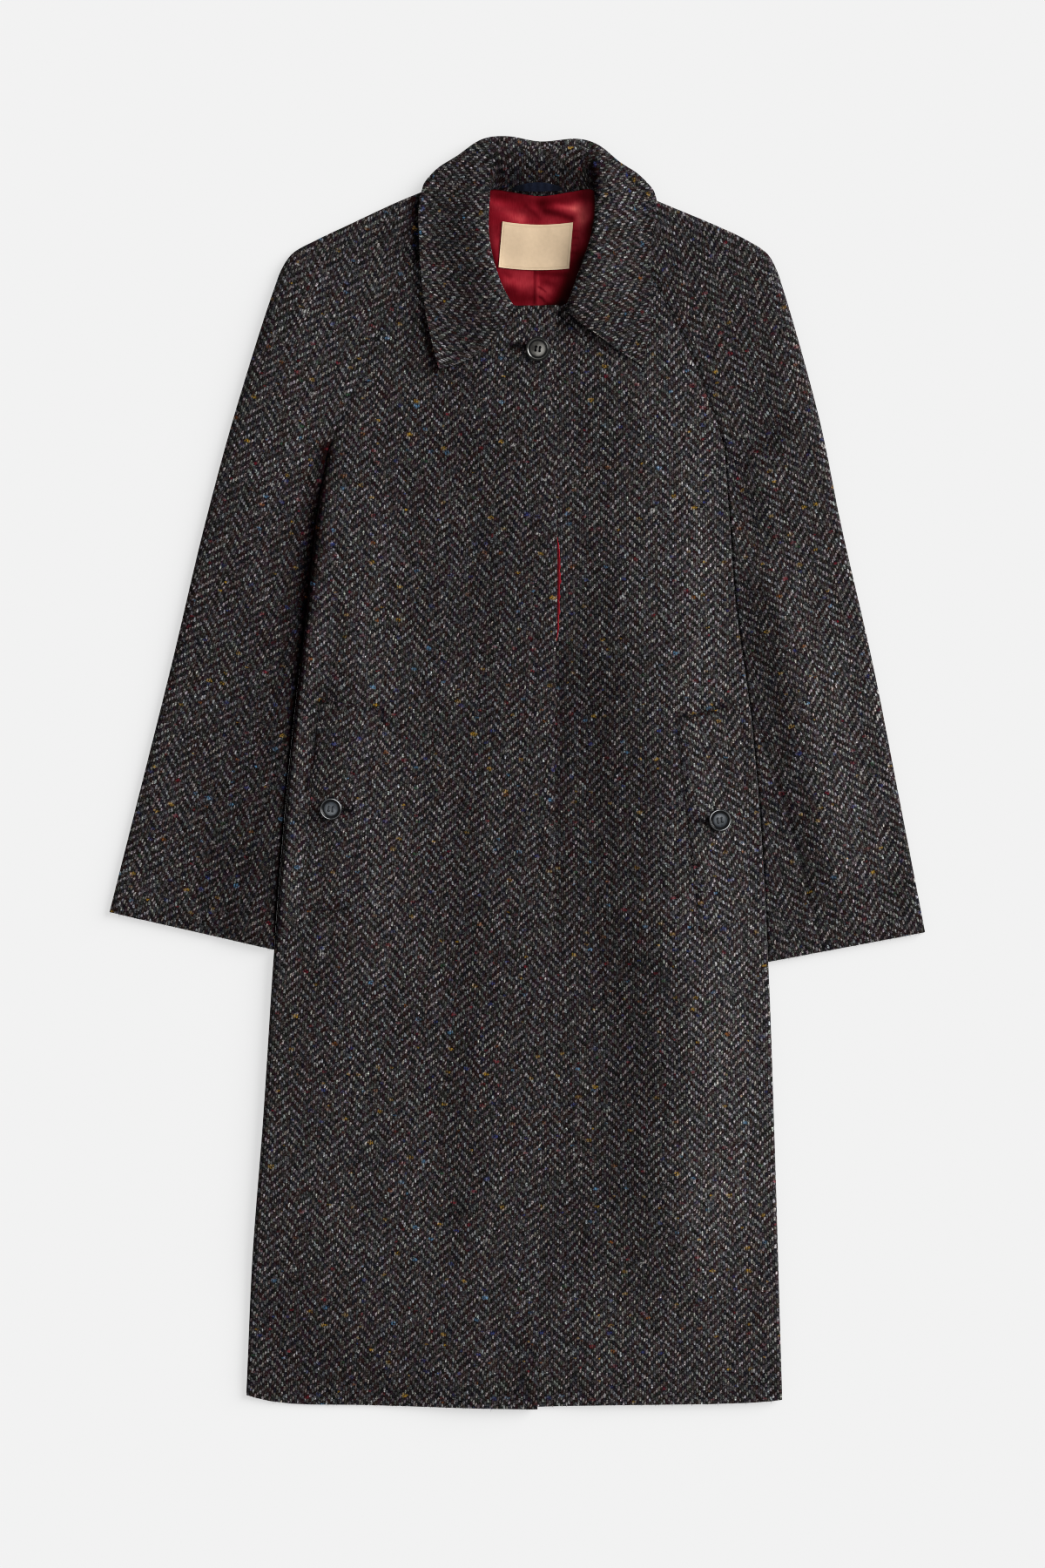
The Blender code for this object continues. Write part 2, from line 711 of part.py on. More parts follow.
def make_label(down, across):
    points = patch(LABEL, down, across)
    clear = LINING_CLOTH / 2 + SEAM + RIM_EASE + LABEL_CLOTH / 2
    heights = on_panel("neck_lining", points) + clear
    return cloth("neck_label", raised(points, heights), LABEL_CLOTH, "label")


def make_fly_lining(count):
    # A strip of lining between the laps, which peeps out along the front edge.
    top, bottom, depth, peep = FLY_LINING
    t = np.linspace(0.0, 1.0, count)
    y = top + (bottom - top) * t
    edge = front_edge_x(np.column_stack([np.zeros(count), y]))
    out = edge + peep * np.sin(math.pi * t)
    under = TOP_LAYER - UNDERLAP_DROP + TWEED / 2
    over = TOP_LAYER + OVERLAP_RISE - TWEED / 2
    level = np.full(count, (under + over) / 2)
    rows = [np.column_stack([out - depth + depth * s, y, level]) for s in (0.0, 0.5, 1.0)]
    return cloth("fly_lining", rows, LINING_CLOTH, "lining")


def stand_level(points):
    # Height of the back of the stand under a point of the hanger loop.
    middle = (len(COLLAR["turn"]) - 1) / 2
    path = stand_path(middle)
    return np.interp(points[..., 1], path[:, 1], path[:, 2])


def make_hanger_loop(count, across):
    start, end = HANGER_LOOP["ends"]
    t = np.linspace(0.0, 1.0, count)
    arch = np.sin(math.pi * t)
    low = HANGER_LOOP["low"][0] + (HANGER_LOOP["low"][1] - HANGER_LOOP["low"][0]) * arch
    high = HANGER_LOOP["high"][0] + (HANGER_LOOP["high"][1] - HANGER_LOOP["high"][0]) * arch
    rows = []
    for s in np.linspace(0.0, 1.0, across):
        points = np.column_stack([start + (end - start) * t, low + (high - low) * s])
        clear = COLLAR_CLOTH / 2 + SEAM + TAPE_CLOTH / 2 + HANGER_LOOP["bulge"] * arch
        rows.append(np.column_stack([points, stand_level(points) + clear]))
    return cloth("hanger_loop", rows, TAPE_CLOTH, "tape")


def make_button(name, level):
    # A turned disc with a raised rim and a sunk middle.
    x, y, diameter = BUTTONS[name]
    profile = bpy.data.meshes.new(name)
    points = [(r * diameter / 2 * MM, 0.0, z * BUTTON_HEIGHT * MM) for r, z in BUTTON_PROFILE]
    profile.from_pydata(points, [(i, i + 1) for i in range(len(points) - 1)], [])
    made = add_object(name, profile, "horn")
    turned = made.modifiers.new("turned", "SCREW")
    turned.steps = BUTTON_SIDES
    turned.render_steps = BUTTON_SIDES
    turned.use_merge_vertices = True
    turned.merge_threshold = 0.00001
    made.location = (np.array([x, y, level + SEAM]) - ORIGIN) * MM
    return made


def make_buttons():
    for name, (x, y, diameter) in BUTTONS.items():
        panel, wall = BUTTON_PANELS[name]
        angles = np.linspace(0.0, math.tau, 24, endpoint=False)
        ring = np.column_stack([np.cos(angles), np.sin(angles)]) * diameter / 2
        level = on_panel(panel, np.array([x, y]) + ring).max() + wall / 2
        make_button(name, float(level))


def main():
    for old in list(bpy.data.objects):
        bpy.data.objects.remove(old)
    bpy.context.scene.collection.children.link(bpy.data.collections.new("raglan_coat"))
    make_back(19)
    for side in ("right", "left"):
        make_front(side, 13)
        make_sleeve(side, 13, 15)
        make_welt(side, 9, 5)
    make_collar(19, 6)
    make_neck_lining()
    make_label(3, 3)
    make_fly_lining(7)
    make_hanger_loop(9, 3)
    make_buttons()


main()
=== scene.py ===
import math

import bmesh
import bpy
import numpy as np
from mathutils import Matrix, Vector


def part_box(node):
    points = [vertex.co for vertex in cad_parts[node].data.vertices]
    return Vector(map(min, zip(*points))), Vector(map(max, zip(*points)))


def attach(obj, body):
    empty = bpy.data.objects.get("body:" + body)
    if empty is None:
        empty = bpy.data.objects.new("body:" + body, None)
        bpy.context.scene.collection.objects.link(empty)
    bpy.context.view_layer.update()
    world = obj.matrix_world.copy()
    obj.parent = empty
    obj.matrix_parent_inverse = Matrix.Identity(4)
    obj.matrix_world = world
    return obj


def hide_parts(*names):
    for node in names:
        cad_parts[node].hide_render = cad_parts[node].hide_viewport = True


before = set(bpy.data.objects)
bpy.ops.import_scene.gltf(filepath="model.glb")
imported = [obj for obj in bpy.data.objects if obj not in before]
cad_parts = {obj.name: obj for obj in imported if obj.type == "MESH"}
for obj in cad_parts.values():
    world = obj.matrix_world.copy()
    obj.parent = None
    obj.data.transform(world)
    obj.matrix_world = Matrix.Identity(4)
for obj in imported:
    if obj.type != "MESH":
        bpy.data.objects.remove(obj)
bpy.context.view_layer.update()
bpy.ops.object.select_all(action="DESELECT")
print("frame loaded")

mm = 0.001
middle = np.array([0.0, -1.283, 0.0])  # the frame's zero in the drawing's millimetres

# In millimetres: each cloth's thickness, the heights of the layers, sizes in plan, the rise at the neck
cloth = {"tweed": 2.2, "collar": 2.5, "welt": 1.4, "lining": 0.8, "label": 0.8, "tape": 1.2, "seam": 0.3}
levels = {
    "floor": 1.1, "top": 7.0, "bodyRise": 1.2, "cuffDrop": 0.6,
    "lap": 3.6, "under": 1.8, "collarFloor": 1.3, "leaf": 12.0,
}
plan = {
    "foldRadius": 3.2, "seamWidth": 2.6, "underarmTuck": 30.0, "sideGap": -0.25, "lapWidth": 58.0,
    "lapEase": 45.0, "underEase": 60.0, "rollRadius": 4.0,
    "bodyFrom": 290.0, "bodyRamp": 90.0, "cuffFrom": 200.0, "cuffRamp": 300.0,
}
neckRise = {
    "x": 20.0, "floor": 3.0, "top": 1.5, "fold": 2.2,
    "fromY": 468.0, "ramp": 34.0, "halfWidth": 112.0, "fade": 45.0,
}
foldLevelMiddle = (levels["floor"] + levels["top"]) / 2
foldRadii = (plan["foldRadius"], plan["foldRadius"])


# Columns of numbers by name, a row for each section
def table(columns, *rows):
    return dict(zip(columns.split(), np.array(rows, float).T))


def route(*rows):
    return table("station x y", *rows)


def strokeTable(*rows):
    return table("x0 y0 x1 y1 x2 y2 width strength", *rows)


# Seams and outlines in plan: station 0 at the neck, 100 at the underarm, 200 at the hem or cuff
underarm = 100
hem = 200
raglanFront = {
    "right": route(
        (0, -33, 493), (20, -62, 485), (40, -93, 467), (60, -115, 431), (80, -140, 375),
        (100, -172.8, 296.8),
    ),
    "left": route(
        (0, 77.5, 493), (20, 98, 483), (40, 119, 462), (60, 138, 425), (80, 163, 373), (100, 190, 300),
    ),
}
raglanBack = {
    "right": route(
        (0, -27, 533), (20, -52, 512), (40, -82, 480), (60, -112, 430), (80, -141, 372),
        (100, -172.8, 296.8),
    ),
    "left": route(
        (0, 70, 533), (20, 92, 512), (40, 117, 480), (60, 141, 430), (80, 165, 371), (100, 190, 300),
    ),
}
bodySide = {
    "right": route(
        (100, -172.8, 296.8), (106, -182.5, 244.8), (117, -193.6, 148.8), (131, -207.2, 28.8),
        (153, -223.2, -163.2), (171, -233.5, -320), (185, -243, -443), (200, -248.8, -573.6),
    ),
    "left": route(
        (100, 190, 300), (106, 194, 247), (117, 201.5, 148.8), (127, 212.8, 66), (136, 220.8, -14),
        (154, 230.4, -174.4), (172, 236, -330), (200, 243.2, -576),
    ),
}
cuffStation = {"right": 153, "left": 154}  # where the cuff's inner end lies along the body's side
overarm = {
    "right": route(
        (0, -34, 540), (14, -62, 540), (30, -104.8, 524.8), (46, -156.8, 500.8), (56, -184, 488),
        (64, -206.5, 475.5), (70, -215.5, 463), (78, -224, 441), (100, -259, 330), (122, -286.4, 228.8),
        (150, -316.8, 100.8), (178, -348.8, -27.2), (200, -374.4, -128.8),
    ),
    "left": route(
        (0, 79, 539), (14, 103, 536), (30, 130, 523), (46, 183.2, 500.8), (56, 208.8, 488.8),
        (64, 229.5, 475.5), (70, 237, 463), (78, 244, 443), (100, 277, 325), (120, 296.8, 228.8),
        (147, 326, 100.8), (175, 351.2, -27.2), (200, 374.4, -147.2),
    ),
}
frontEdge = route(
    (0, 38.4, 428), (40, 33, 390), (70, 31.2, 352), (100, 34, 297), (114, 36.8, 196.8),
    (132, 34.4, 20.8), (150, 33, -131.2), (159, 26, -211.2), (172, 22.4, -331.2), (200, 18.4, -585.6),
)
# Round the neck the stations run from the front edge to the raglan seam, and at the back from right to left
neckline = {
    "right": route(
        (0, 38.4, 428), (30, 8, 427.5), (45, -4.5, 428.5), (60, -13.5, 440), (80, -25, 465),
        (100, -33, 493),
    ),
    "left": route(
        (0, -19.6, 424), (35, 20, 425.5), (55, 44, 429), (70, 55, 441), (85, 67, 466), (100, 77.5, 493),
    ),
}
backNeck = route((0, -27, 533), (25, -6, 531.6), (50, 21.5, 530), (75, 49, 531.6), (100, 70, 533))
# The hem across the coat; the left front hides a little above it under the lap
hemLine = table(
    "x y",
    (-250, -571.5), (-240, -574.5), (-227, -577.6), (-207, -580), (-187, -580.8), (-147, -581),
    (-107, -582), (-67, -583.2), (-27, -584.2), (18, -584.8), (53, -583.4), (93, -582.4), (133, -581.6),
    (173, -580.8), (193, -580), (213, -579.2), (233, -577.6), (244, -576),
)
# How far the lower half of a sleeve comes round onto the upper side
inseam = {
    "right": table("station offset", (100, 0), (150, 0), (156, 6), (175, 26), (200, 54)),
    "left": table("station offset", (100, 0), (150, 0), (156, 6), (175, 28), (200, 50)),
}

# Ridges and troughs of the upper layer, each along a bent line
folds = {
    "frontRight": strokeTable(
        (-182, 250, -201, 60, -215, -130, 15, 5.5),
        (-158, 200, -150, -40, -160, -210, 33, 4.6),
        (-168, -270, -178, -360, -182, -420, 34, 3.0),
        (-62, 250, -66, 150, -70, 60, 32, 2.6),
        (-96, -200, -112, -300, -120, -380, 30, 3.0),
        (-30, -210, -45, -310, -60, -410, 24, -2.0),
        (-235, -500, -200, -565, -140, -585, 46, -3.4),
    ),
    "frontLeft": strokeTable(
        (118, 345, 120, 300, 122, 255, 46, 5.0),
        (126, 172, 130, 80, 136, -10, 46, 8.5),
        (143, -92, 153, -270, 146, -440, 48, 10.0),
        (50, 130, 58, 20, 66, -80, 18, -1.6),
        (74, -170, 90, -290, 70, -400, 22, -2.2),
    ),
    "sleeveRight": strokeTable(
        (-205, 420, -240, 240, -270, 110, 34, 3.0),
        (-206, 120, -220, -10, -238, -140, 36, 2.8),
        (-176, 330, -192, 180, -205, 60, 14, -1.8),
    ),
    "sleeveLeft": strokeTable(
        (236, 440, 244, 380, 250, 330, 28, 3.6),
        (236, 165, 258, 60, 292, -100, 25, 6.2),
        (243, 322, 222, 304, 200, 282, 10, -3.6),
        (204, 272, 210, 250, 217, 224, 10, -3.2),
    ),
}

# Painted shade and painted light: shadows cast between parts and under edges, shade in gaps, creases and at
# buttonholes, and sides of folds lighter or darker as the light falls. The strength is the tone's logarithm
paintedShadingStrokes = {
    # Painted shadow in the gap beside the sleeve and under the collar's left leaf, painted shade round the
    # welt and buttonholes, painted light and shade on the folds
    "frontRight": strokeTable(
        (-127, 174, -120, 0, -125, -190, 24, 0.12),
        (-206, -519, -190, -545, -150, -560, 55, -0.3),
        (-39, -200, -45, -260, -70, -400, 34, -0.14),
        (-19, 293, -19, 220, -19, 149, 30, -0.1),
        (-60, 345, -60, 330, -60, 315, 50, -0.1),
        (-174, 296, -186, 215, -193.6, 149, 4.6, -2.8),
        (-193.6, 149, -200, 85, -207.2, 29, 3.6, -2.6),
        (-207.2, 29, -214.5, -40, -223.2, -163, 2.4, -2.6),
        (-6, 429, 15, 428.5, 38, 428, 2.5, -0.5),
        (-84.5, 420, -80, 395, -73.5, 371, 3.4, -1.7),
        (-92, 416, -86, 392, -79, 369, 10, -0.35),
        (-168, 292, -177, 225, -186, 150, 9, -0.4),
        (-190, 62, -160, 61, -128, 58, 2.4, -0.75),
        (-179, 67, -175, 65, -170, 63, 3.0, -0.6),
        (-130, 58, -124, 56, -120, 48, 4.0, -0.9),
        (-126, 50, -140, -30, -156, -125, 1.8, -0.5),
        (-183, 36, -188, 5, -192.5, -14, 2.0, -1.2),
        (-192, -12, -187, -15, -182, -17, 2.6, -0.7),
        (-190, -125, -175, -128, -157, -127, 3.0, -0.65),
        (-161, -34.5, -157, -35, -152, -35.5, 3.0, -1.7),
        (-6, 391, 0, 390.8, 8, 390.4, 2.8, -1.8),
        (-60, 200, -40, -50, -60, -200, 110, -0.1),
        (14, -520, 14, -550, 12, -580, 26, -0.28),
    ),
    # Painted light and shade on the folds, painted shade along the front edge, round the welt and at the
    # buttonhole
    "frontLeft": strokeTable(
        (66, 70, 82, -80, 98, -250, 42, -0.28),
        (41, 118, 41, -20, 40, -150, 7, -0.3),
        (150, 320, 155, 0, 150, -520, 110, 0.13),
        (90, -300, 70, -370, 50, -430, 36, -0.16),
        (170, 250, 175, 165, 180, 90, 30, 0.15),
        (200, -120, 205, -260, 195, -380, 45, 0.2),
        (148, 49, 170, 53, 190, 60, 2.6, -1.7),
        (187, 60, 195, 59.5, 203, 58, 1.8, -0.4),
        (160, 48, 170, 51, 180, 54.5, 2.0, 0.3),
        (169, -147, 176, -149, 183, -147, 3.2, -0.7),
        (147, 44, 157, -50, 168, -145, 1.8, -0.45),
        (163, -45.5, 168, -45, 173, -44.8, 2.8, -0.9),
    ),
    # Painted shadow in the gap beside the body and under the collar's left leaf, painted shade on the folds
    "sleeveRight": strokeTable(
        (-200, 200, -235, -20, -262, -130, 55, -0.26),
        (-174, 296, -186, 215, -193.6, 149, 5.4, -2.8),
        (-193.6, 149, -200, 85, -207.2, 29, 4.2, -2.6),
        (-207.2, 29, -214.5, -40, -223.2, -163, 2.6, -2.6),
        (-182, 285, -200, 149, -214, 29, 15, -0.5),
        (-93.5, 526, -93, 500, -91, 470, 3.4, -2.0),
        (-91, 470, -88, 445, -85, 420, 3.4, -1.8),
        (-101, 526, -98, 475, -92, 418, 11, -0.35),
        (-255, -20, -260, -80, -266, -135, 45, -0.14),
    ),
    # Painted light and shade on the folds and beside the body
    "sleeveLeft": strokeTable(
        (296, 70, 304, 20, 312, -30, 38, 0.26),
        (255, 330, 280, 100, 315, -120, 60, 0.13),
        (215, 157, 238, 60, 262, -40, 14, -0.26),
        (242, 315, 222, 300, 198, 280, 10, -0.3),
        (198, 280, 206, 254, 215, 227, 10, -0.3),
        (225, 440, 228, 415, 230, 390, 36, 0.1),
    ),
    # Painted shade on the back of the stand and painted shadow along the right leaf's roll
    "collar": strokeTable(
        (-12, 545, 22, 543, 64, 546, 17, -0.75),
        (69, 576, 71, 552, 72.5, 530, 4, -1.5),
        (-25, 560, -26, 545, -26, 530, 3, -0.4),
        (72, 505, 67, 486, 45, 424, 2.5, -0.5),
        (88, 550, 92, 515, 88, 480, 14, -0.14),
    ),
    # Painted shade in a band under the stand and in creases, painted light on lit patches, painted shadow of
    # the right leaf's roll
    "lining": strokeTable(
        (-26, 531, 10, 523, 24, 521.5, 6.5, -0.75),
        (24, 521.5, 40, 524, 70, 529, 6, -0.75),
        (8, 518.5, 15, 513, 20.5, 507.5, 2.2, -0.45),
        (26, 514.5, 38, 511.5, 50, 507.5, 2.8, -0.7),
        (-17, 519, -8, 513, 3, 508, 6.5, 0.85),
        (55, 518, 59, 513, 61, 507, 6.5, 0.8),
        (57, 503, 58, 497, 58, 490, 5, 0.4),
        (36, 519.5, 43, 518, 51, 516.5, 3, 0.65),
        (-27.5, 515, -27, 490, -20, 465, 2.5, -0.5),
        (-19, 500, -19, 496, -17.5, 492, 2.5, -0.3),
        (51, 496, 54, 496.4, 57, 496, 0.8, -0.3),
        (50.5, 489.5, 53.5, 490, 56.5, 489.4, 0.8, -0.3),
        (50, 483, 53, 483.6, 56, 483, 0.8, -0.3),
        (49.5, 476, 52.5, 476.4, 55, 475.8, 0.8, -0.3),
        (58, 500, 57, 480, 51, 462, 8, -0.05),
        (73, 534, 72.5, 518, 71, 500, 3.2, -1.5),
        (70.5, 500, 68, 484, 63, 467, 6, -1.7),
        (63, 467, 53, 449, 42, 430, 9, -2.0),
        (42, 430, 36, 427, 28, 427, 3.2, -1.2),
        (-13, 459, -10, 456.5, -6.5, 454.5, 2.4, -0.45),
        (-9, 450, 3, 447.5, 13, 449, 5, 0.4),
        (-9, 437, 4, 434, 15, 433.5, 5.5, -0.65),
        (16, 459.5, 16, 445, 15.6, 430, 1.0, -0.55),
        (19, 455, 19, 442, 18.6, 431, 1.4, 0.25),
        (19, 458, 32, 457, 46, 456, 2.6, -0.5),
        (27, 449, 31, 447.5, 35, 447, 2.8, -0.5),
        (22, 441, 29, 441, 35, 438, 4, 0.35),
        (19.5, 445, 23, 443, 26, 440.5, 0.9, -0.6),
        (20.5, 436, 23, 434.5, 25, 432, 1.0, -0.7),
    ),
    # Painted light on the fly lining, where the lapped edge shades it
    "fly": strokeTable((37, 225, 36, 170, 36, 115, 9, 0.45)),
    # Painted shadow at the loop's ends
    "loop": strokeTable(
        (-5, 534, -2, 534, 1, 535, 5, -1.2),
        (38, 536, 41, 535, 44, 534, 5, -1.2),
    ),
}


def smooth(value):
    t = np.clip(value, 0.0, 1.0)
    return t * t * (3.0 - 2.0 * t)


# A column read off a smooth curve through a table's rows
def along(rows, stations, column):
    keys, values = rows["station"], rows[column]
    slopes = np.gradient(values, keys)
    at = np.asarray(stations, float)
    index = np.clip(np.searchsorted(keys, at, side="right") - 1, 0, len(keys) - 2)
    step = keys[index + 1] - keys[index]
    t = (at - keys[index]) / step
    start = (1 + 2 * t) * (1 - t) ** 2 * values[index] + t * (1 - t) ** 2 * step * slopes[index]
    end = t**2 * (3 - 2 * t) * values[index + 1] - t**2 * (1 - t) * step * slopes[index + 1]
    return start + end


def place(rows, stations):
    return np.stack([along(rows, stations, "x"), along(rows, stations, "y")], axis=-1)


# Shares from 0 to 1, closer together at both ends
def fractions(count):
    return 0.5 - 0.5 * np.cos(np.linspace(0.0, math.pi, count))


handLook = {"waves": 6, "stretch": (0.6, 1.6), "level": 3.5, "vary": 0.25, "varySize": 160.0, "seed": 40}


# Slow, uneven waves, about -1 to 1, for hand-made irregularity
def uneven(points, size, seed):
    source = np.random.default_rng(seed)
    total = np.zeros(points.shape[:-1])
    for _ in range(handLook["waves"]):
        angle, phase = source.uniform(0, math.tau), source.uniform(0, math.tau)
        wave = math.tau / (size * source.uniform(*handLook["stretch"]))
        run = points[..., 0] * math.cos(angle) * wave + points[..., 1] * math.sin(angle) * wave
        total += np.sin(run + phase)
    return total / handLook["level"]


def neckLift(points):
    sideways = np.abs(points[..., 0] - neckRise["x"]) - neckRise["halfWidth"]
    up = smooth((points[..., 1] - neckRise["fromY"]) / neckRise["ramp"])
    return up * (1.0 - smooth(sideways / neckRise["fade"]))


def floorHeight(points):
    return levels["floor"] + neckRise["floor"] * neckLift(points)


def foldLevel(points):
    return foldLevelMiddle + neckRise["fold"] * neckLift(points)


# The sum of soft strokes, each along a bent line with its own width and strength
def strokes(points, rows):
    total = np.zeros(points.shape[:-1])
    for number, (x0, y0, x1, y1, x2, y2, width, strength) in enumerate(zip(*rows.values())):
        corners = np.array([[x0, y0], [x1, y1], [x2, y2]])
        away = np.full(points.shape[:-1], np.inf)
        for start, end in zip(corners[:-1], corners[1:]):
            run = end - start
            t = np.clip((points - start) @ run / (run @ run), 0.0, 1.0)
            away = np.minimum(away, np.linalg.norm(points - start - t[..., None] * run, axis=-1))
        vary = 1.0 + handLook["vary"] * uneven(points, handLook["varySize"], handLook["seed"] + number)
        total += strength * vary * np.exp(-((away / width) ** 2))
    return total


def frontEdgeX(points):
    order = np.argsort(frontEdge["y"])
    return np.interp(points[..., 1], frontEdge["y"][order], frontEdge["x"][order])


def frontHeight(points, side):
    beyond = points[..., 0] - frontEdgeX(points)
    rise = levels["bodyRise"] * smooth((plan["bodyFrom"] - points[..., 1]) / plan["bodyRamp"])
    rise = rise + neckRise["top"] * neckLift(points)
    if side == "right":
        lap = smooth((beyond + plan["lapWidth"] + plan["lapEase"]) / plan["lapEase"])
        level = levels["top"] + rise * (1 - lap) + levels["lap"] * lap
        return level + (1 - lap) * strokes(points, folds["frontRight"])
    clear = smooth(beyond / plan["underEase"])
    level = levels["top"] - levels["under"] * (1 - clear)
    return level + clear * (rise + strokes(points, folds["frontLeft"]))


def sleeveHeight(points, side):
    drop = levels["cuffDrop"] * smooth((plan["cuffFrom"] - points[..., 1]) / plan["cuffRamp"])
    level = levels["top"] + neckRise["top"] * neckLift(points) - drop
    return level + strokes(points, folds["sleeve" + side.title()])


def raglanLine(side, station, layer):
    if station <= underarm:
        return place((raglanFront if layer == "front" else raglanBack)[side], station)
    return place(bodySide[side], station)


# How far a seam has turned into the folded side below the underarm, from 0 to 1
def tuck(side, station, layer):
    if station >= underarm:
        return 1.0
    apart = raglanLine(side, station, layer) - place(bodySide[side], underarm)
    return 1.0 - float(smooth(np.linalg.norm(apart) / plan["underarmTuck"]))


def setBack(point, towards, distance):
    run = towards - point
    return point + run * (distance / np.linalg.norm(run))


def seamSetBack(amount):
    return cloth["seam"] / 2 + amount * (cloth["tweed"] / 2 + plan["sideGap"] / 2)


def lengths(path):
    return np.concatenate([[0.0], np.cumsum(np.linalg.norm(np.diff(path, axis=0), axis=1))])


# A row's points, bent as the neck seam is by an amount from 0 to 1
def neckBent(points, t, seam, amount):
    neck = place(seam, seam["station"][-1] * t[:, 0])
    return points + amount * (neck - (neck[0] + (neck[-1] - neck[0]) * t))


# A row of cloth whose ends turn over a round fold, or dip into a sewn seam where they don't
def rolled(points, heights, level, startTuck, endTuck, radii=foldRadii, dips=(0.0, 0.0)):
    run = lengths(points)
    z = heights
    for amount, away, radius, dip in zip((startTuck, endTuck), (run, run[-1] - run), radii, dips):
        rise = np.sqrt(1.0 - (1.0 - np.minimum(away / radius, 1.0)) ** 2)
        z = z - amount * (z - level) * (1.0 - rise)
        z = z - (1.0 - amount) * dip * np.exp(-((away / plan["seamWidth"]) ** 2))
    return np.column_stack([points, z])


# A path's columns read at places along it
def sampled(path, run, at):
    return np.column_stack([np.interp(at, run, column) for column in path.T])


def cut(path, start, end):
    run = lengths(path)
    inside = (run > start) & (run < end)
    return sampled(path, run, np.concatenate([[start], run[inside], [end]]))


# Points along a path, closer where it bends
def spread(path, count, weight=30.0):
    size = np.linalg.norm(np.diff(path[:, :3], axis=0), axis=1)
    path = path[np.concatenate([[True], size > 1e-6])]
    steps = np.diff(path[:, :3], axis=0)
    size = np.linalg.norm(steps, axis=1)
    heading = steps / size[:, None]
    turn = np.arccos(np.clip((heading[1:] * heading[:-1]).sum(axis=1), -1.0, 1.0))
    measure = np.concatenate([[0.0], np.cumsum(size + weight * np.concatenate([[0.0], turn]))])
    return sampled(path, measure, np.linspace(0.0, measure[-1], count))


# Adds to each point its place in the flat cut: the plan point, with what the climb adds along the row
def withFlat(path, anchor=0.0):
    climb = lengths(path) - lengths(path[:, :2])
    climb = climb - anchor * climb[-1]
    way = path[-1, :2] - path[0, :2]
    way = way / np.linalg.norm(way)
    return np.column_stack([path, path[:, :2] + way * climb[:, None]])


def turned(flat, degrees):
    angle = math.radians(degrees)
    right = np.array([math.cos(angle), -math.sin(angle)])
    up = np.array([math.sin(angle), math.cos(angle)])
    return np.stack([flat @ right, flat @ up], axis=-1)


# A shader socket that takes part in sums
class Wire:
    def __init__(self, tree, socket=None):
        self.tree = tree
        self.socket = socket

    def node(self, kind, inputs=None, output=0, stops=(), **settings):
        made = self.tree.nodes.new("ShaderNode" + kind)
        for name, setting in settings.items():
            setattr(made, name, setting)
        if stops:  # a ramp's colours, each kept up to the next
            made.color_ramp.interpolation = "CONSTANT"
            while len(made.color_ramp.elements) < len(stops):
                made.color_ramp.elements.new(0.5)
            for element, (position, shade) in zip(made.color_ramp.elements, stops):
                element.position = position
                element.color = shade
        for key, value in (inputs or {}).items():
            if isinstance(value, Wire):
                self.tree.links.new(value.socket, made.inputs[key])
            else:
                made.inputs[key].default_value = value
        return Wire(self.tree, made.outputs[output])

    def sum(self, operation, first, second=0.0):
        return self.node("Math", {0: first, 1: second}, operation=operation)

    def __add__(self, other):
        return self.sum("ADD", self, other)

    def __radd__(self, other):
        return self.sum("ADD", other, self)

    def __sub__(self, other):
        return self.sum("SUBTRACT", self, other)

    def __rsub__(self, other):
        return self.sum("SUBTRACT", other, self)

    def __mul__(self, other):
        return self.sum("MULTIPLY", self, other)

    def __rmul__(self, other):
        return self.sum("MULTIPLY", other, self)

    def __truediv__(self, other):
        return self.sum("DIVIDE", self, other)

    def __rtruediv__(self, other):
        return self.sum("DIVIDE", other, self)

    def __mod__(self, other):
        return self.sum("FLOORED_MODULO", self, other)

    def __pow__(self, other):
        return self.sum("POWER", self, other)

    def __lt__(self, other):
        return self.sum("LESS_THAN", self, other)

    def __abs__(self):
        return self.sum("ABSOLUTE", self)

    def floor(self):
        return self.sum("FLOOR", self)

    def exp(self):
        return self.sum("EXPONENT", self)

    def sine(self):
        return self.sum("SINE", self)

    def step(self, low, high):
        inputs = {"Value": self, "From Min": low, "From Max": high}
        return self.node("MapRange", inputs, interpolation_type="SMOOTHSTEP")

    def split(self):
        outputs = self.node("SeparateXYZ", {0: self}).socket.node.outputs
        return [Wire(self.tree, part) for part in outputs]

    def join(self, x, y, z=0.0):
        return self.node("CombineXYZ", {0: x, 1: y, 2: z})

    def vector(self, operation, *parts):
        return self.node("VectorMath", dict(enumerate(parts)), operation=operation)

    def scaled(self, factor):
        return self.node("VectorMath", {0: self, "Scale": factor}, operation="SCALE")

    def blend(self, factor, first, second):
        return self.node("Mix", {0: factor, 6: first, 7: second}, output=2, data_type="RGBA")

    def noise(self, where, scale, detail=2.0, output=0):
        return self.node("TexNoise", {"Vector": where, "Scale": scale, "Detail": detail}, output)

    def draw(self, where, output=0):
        return self.node("TexWhiteNoise", {"Vector": where}, output, noise_dimensions="2D")

    def flat(self):
        return self.node("UVMap", uv_map="flat")

    def where(self):
        return self.node("TexCoord", output=3)

    def attribute(self, name):
        return self.node("Attribute", output=2, attribute_name=name)

    def bump(self, height, strength, distance):
        return self.node("Bump", {"Strength": strength, "Distance": distance, "Height": height})

    def feed(self, shader, socket):
        self.tree.links.new(self.socket, shader.inputs[socket])


def colour(red, green, blue):
    return (red, green, blue, 1.0)


# A new material, its wire and its shader
def newMaterial(name, **constants):
    made = bpy.data.materials.new(name)
    made.use_nodes = True
    shader = made.node_tree.nodes["Principled BSDF"]
    for socket, value in constants.items():
        shader.inputs[socket.replace("_", " ")].default_value = value
    return made, Wire(made.node_tree), shader


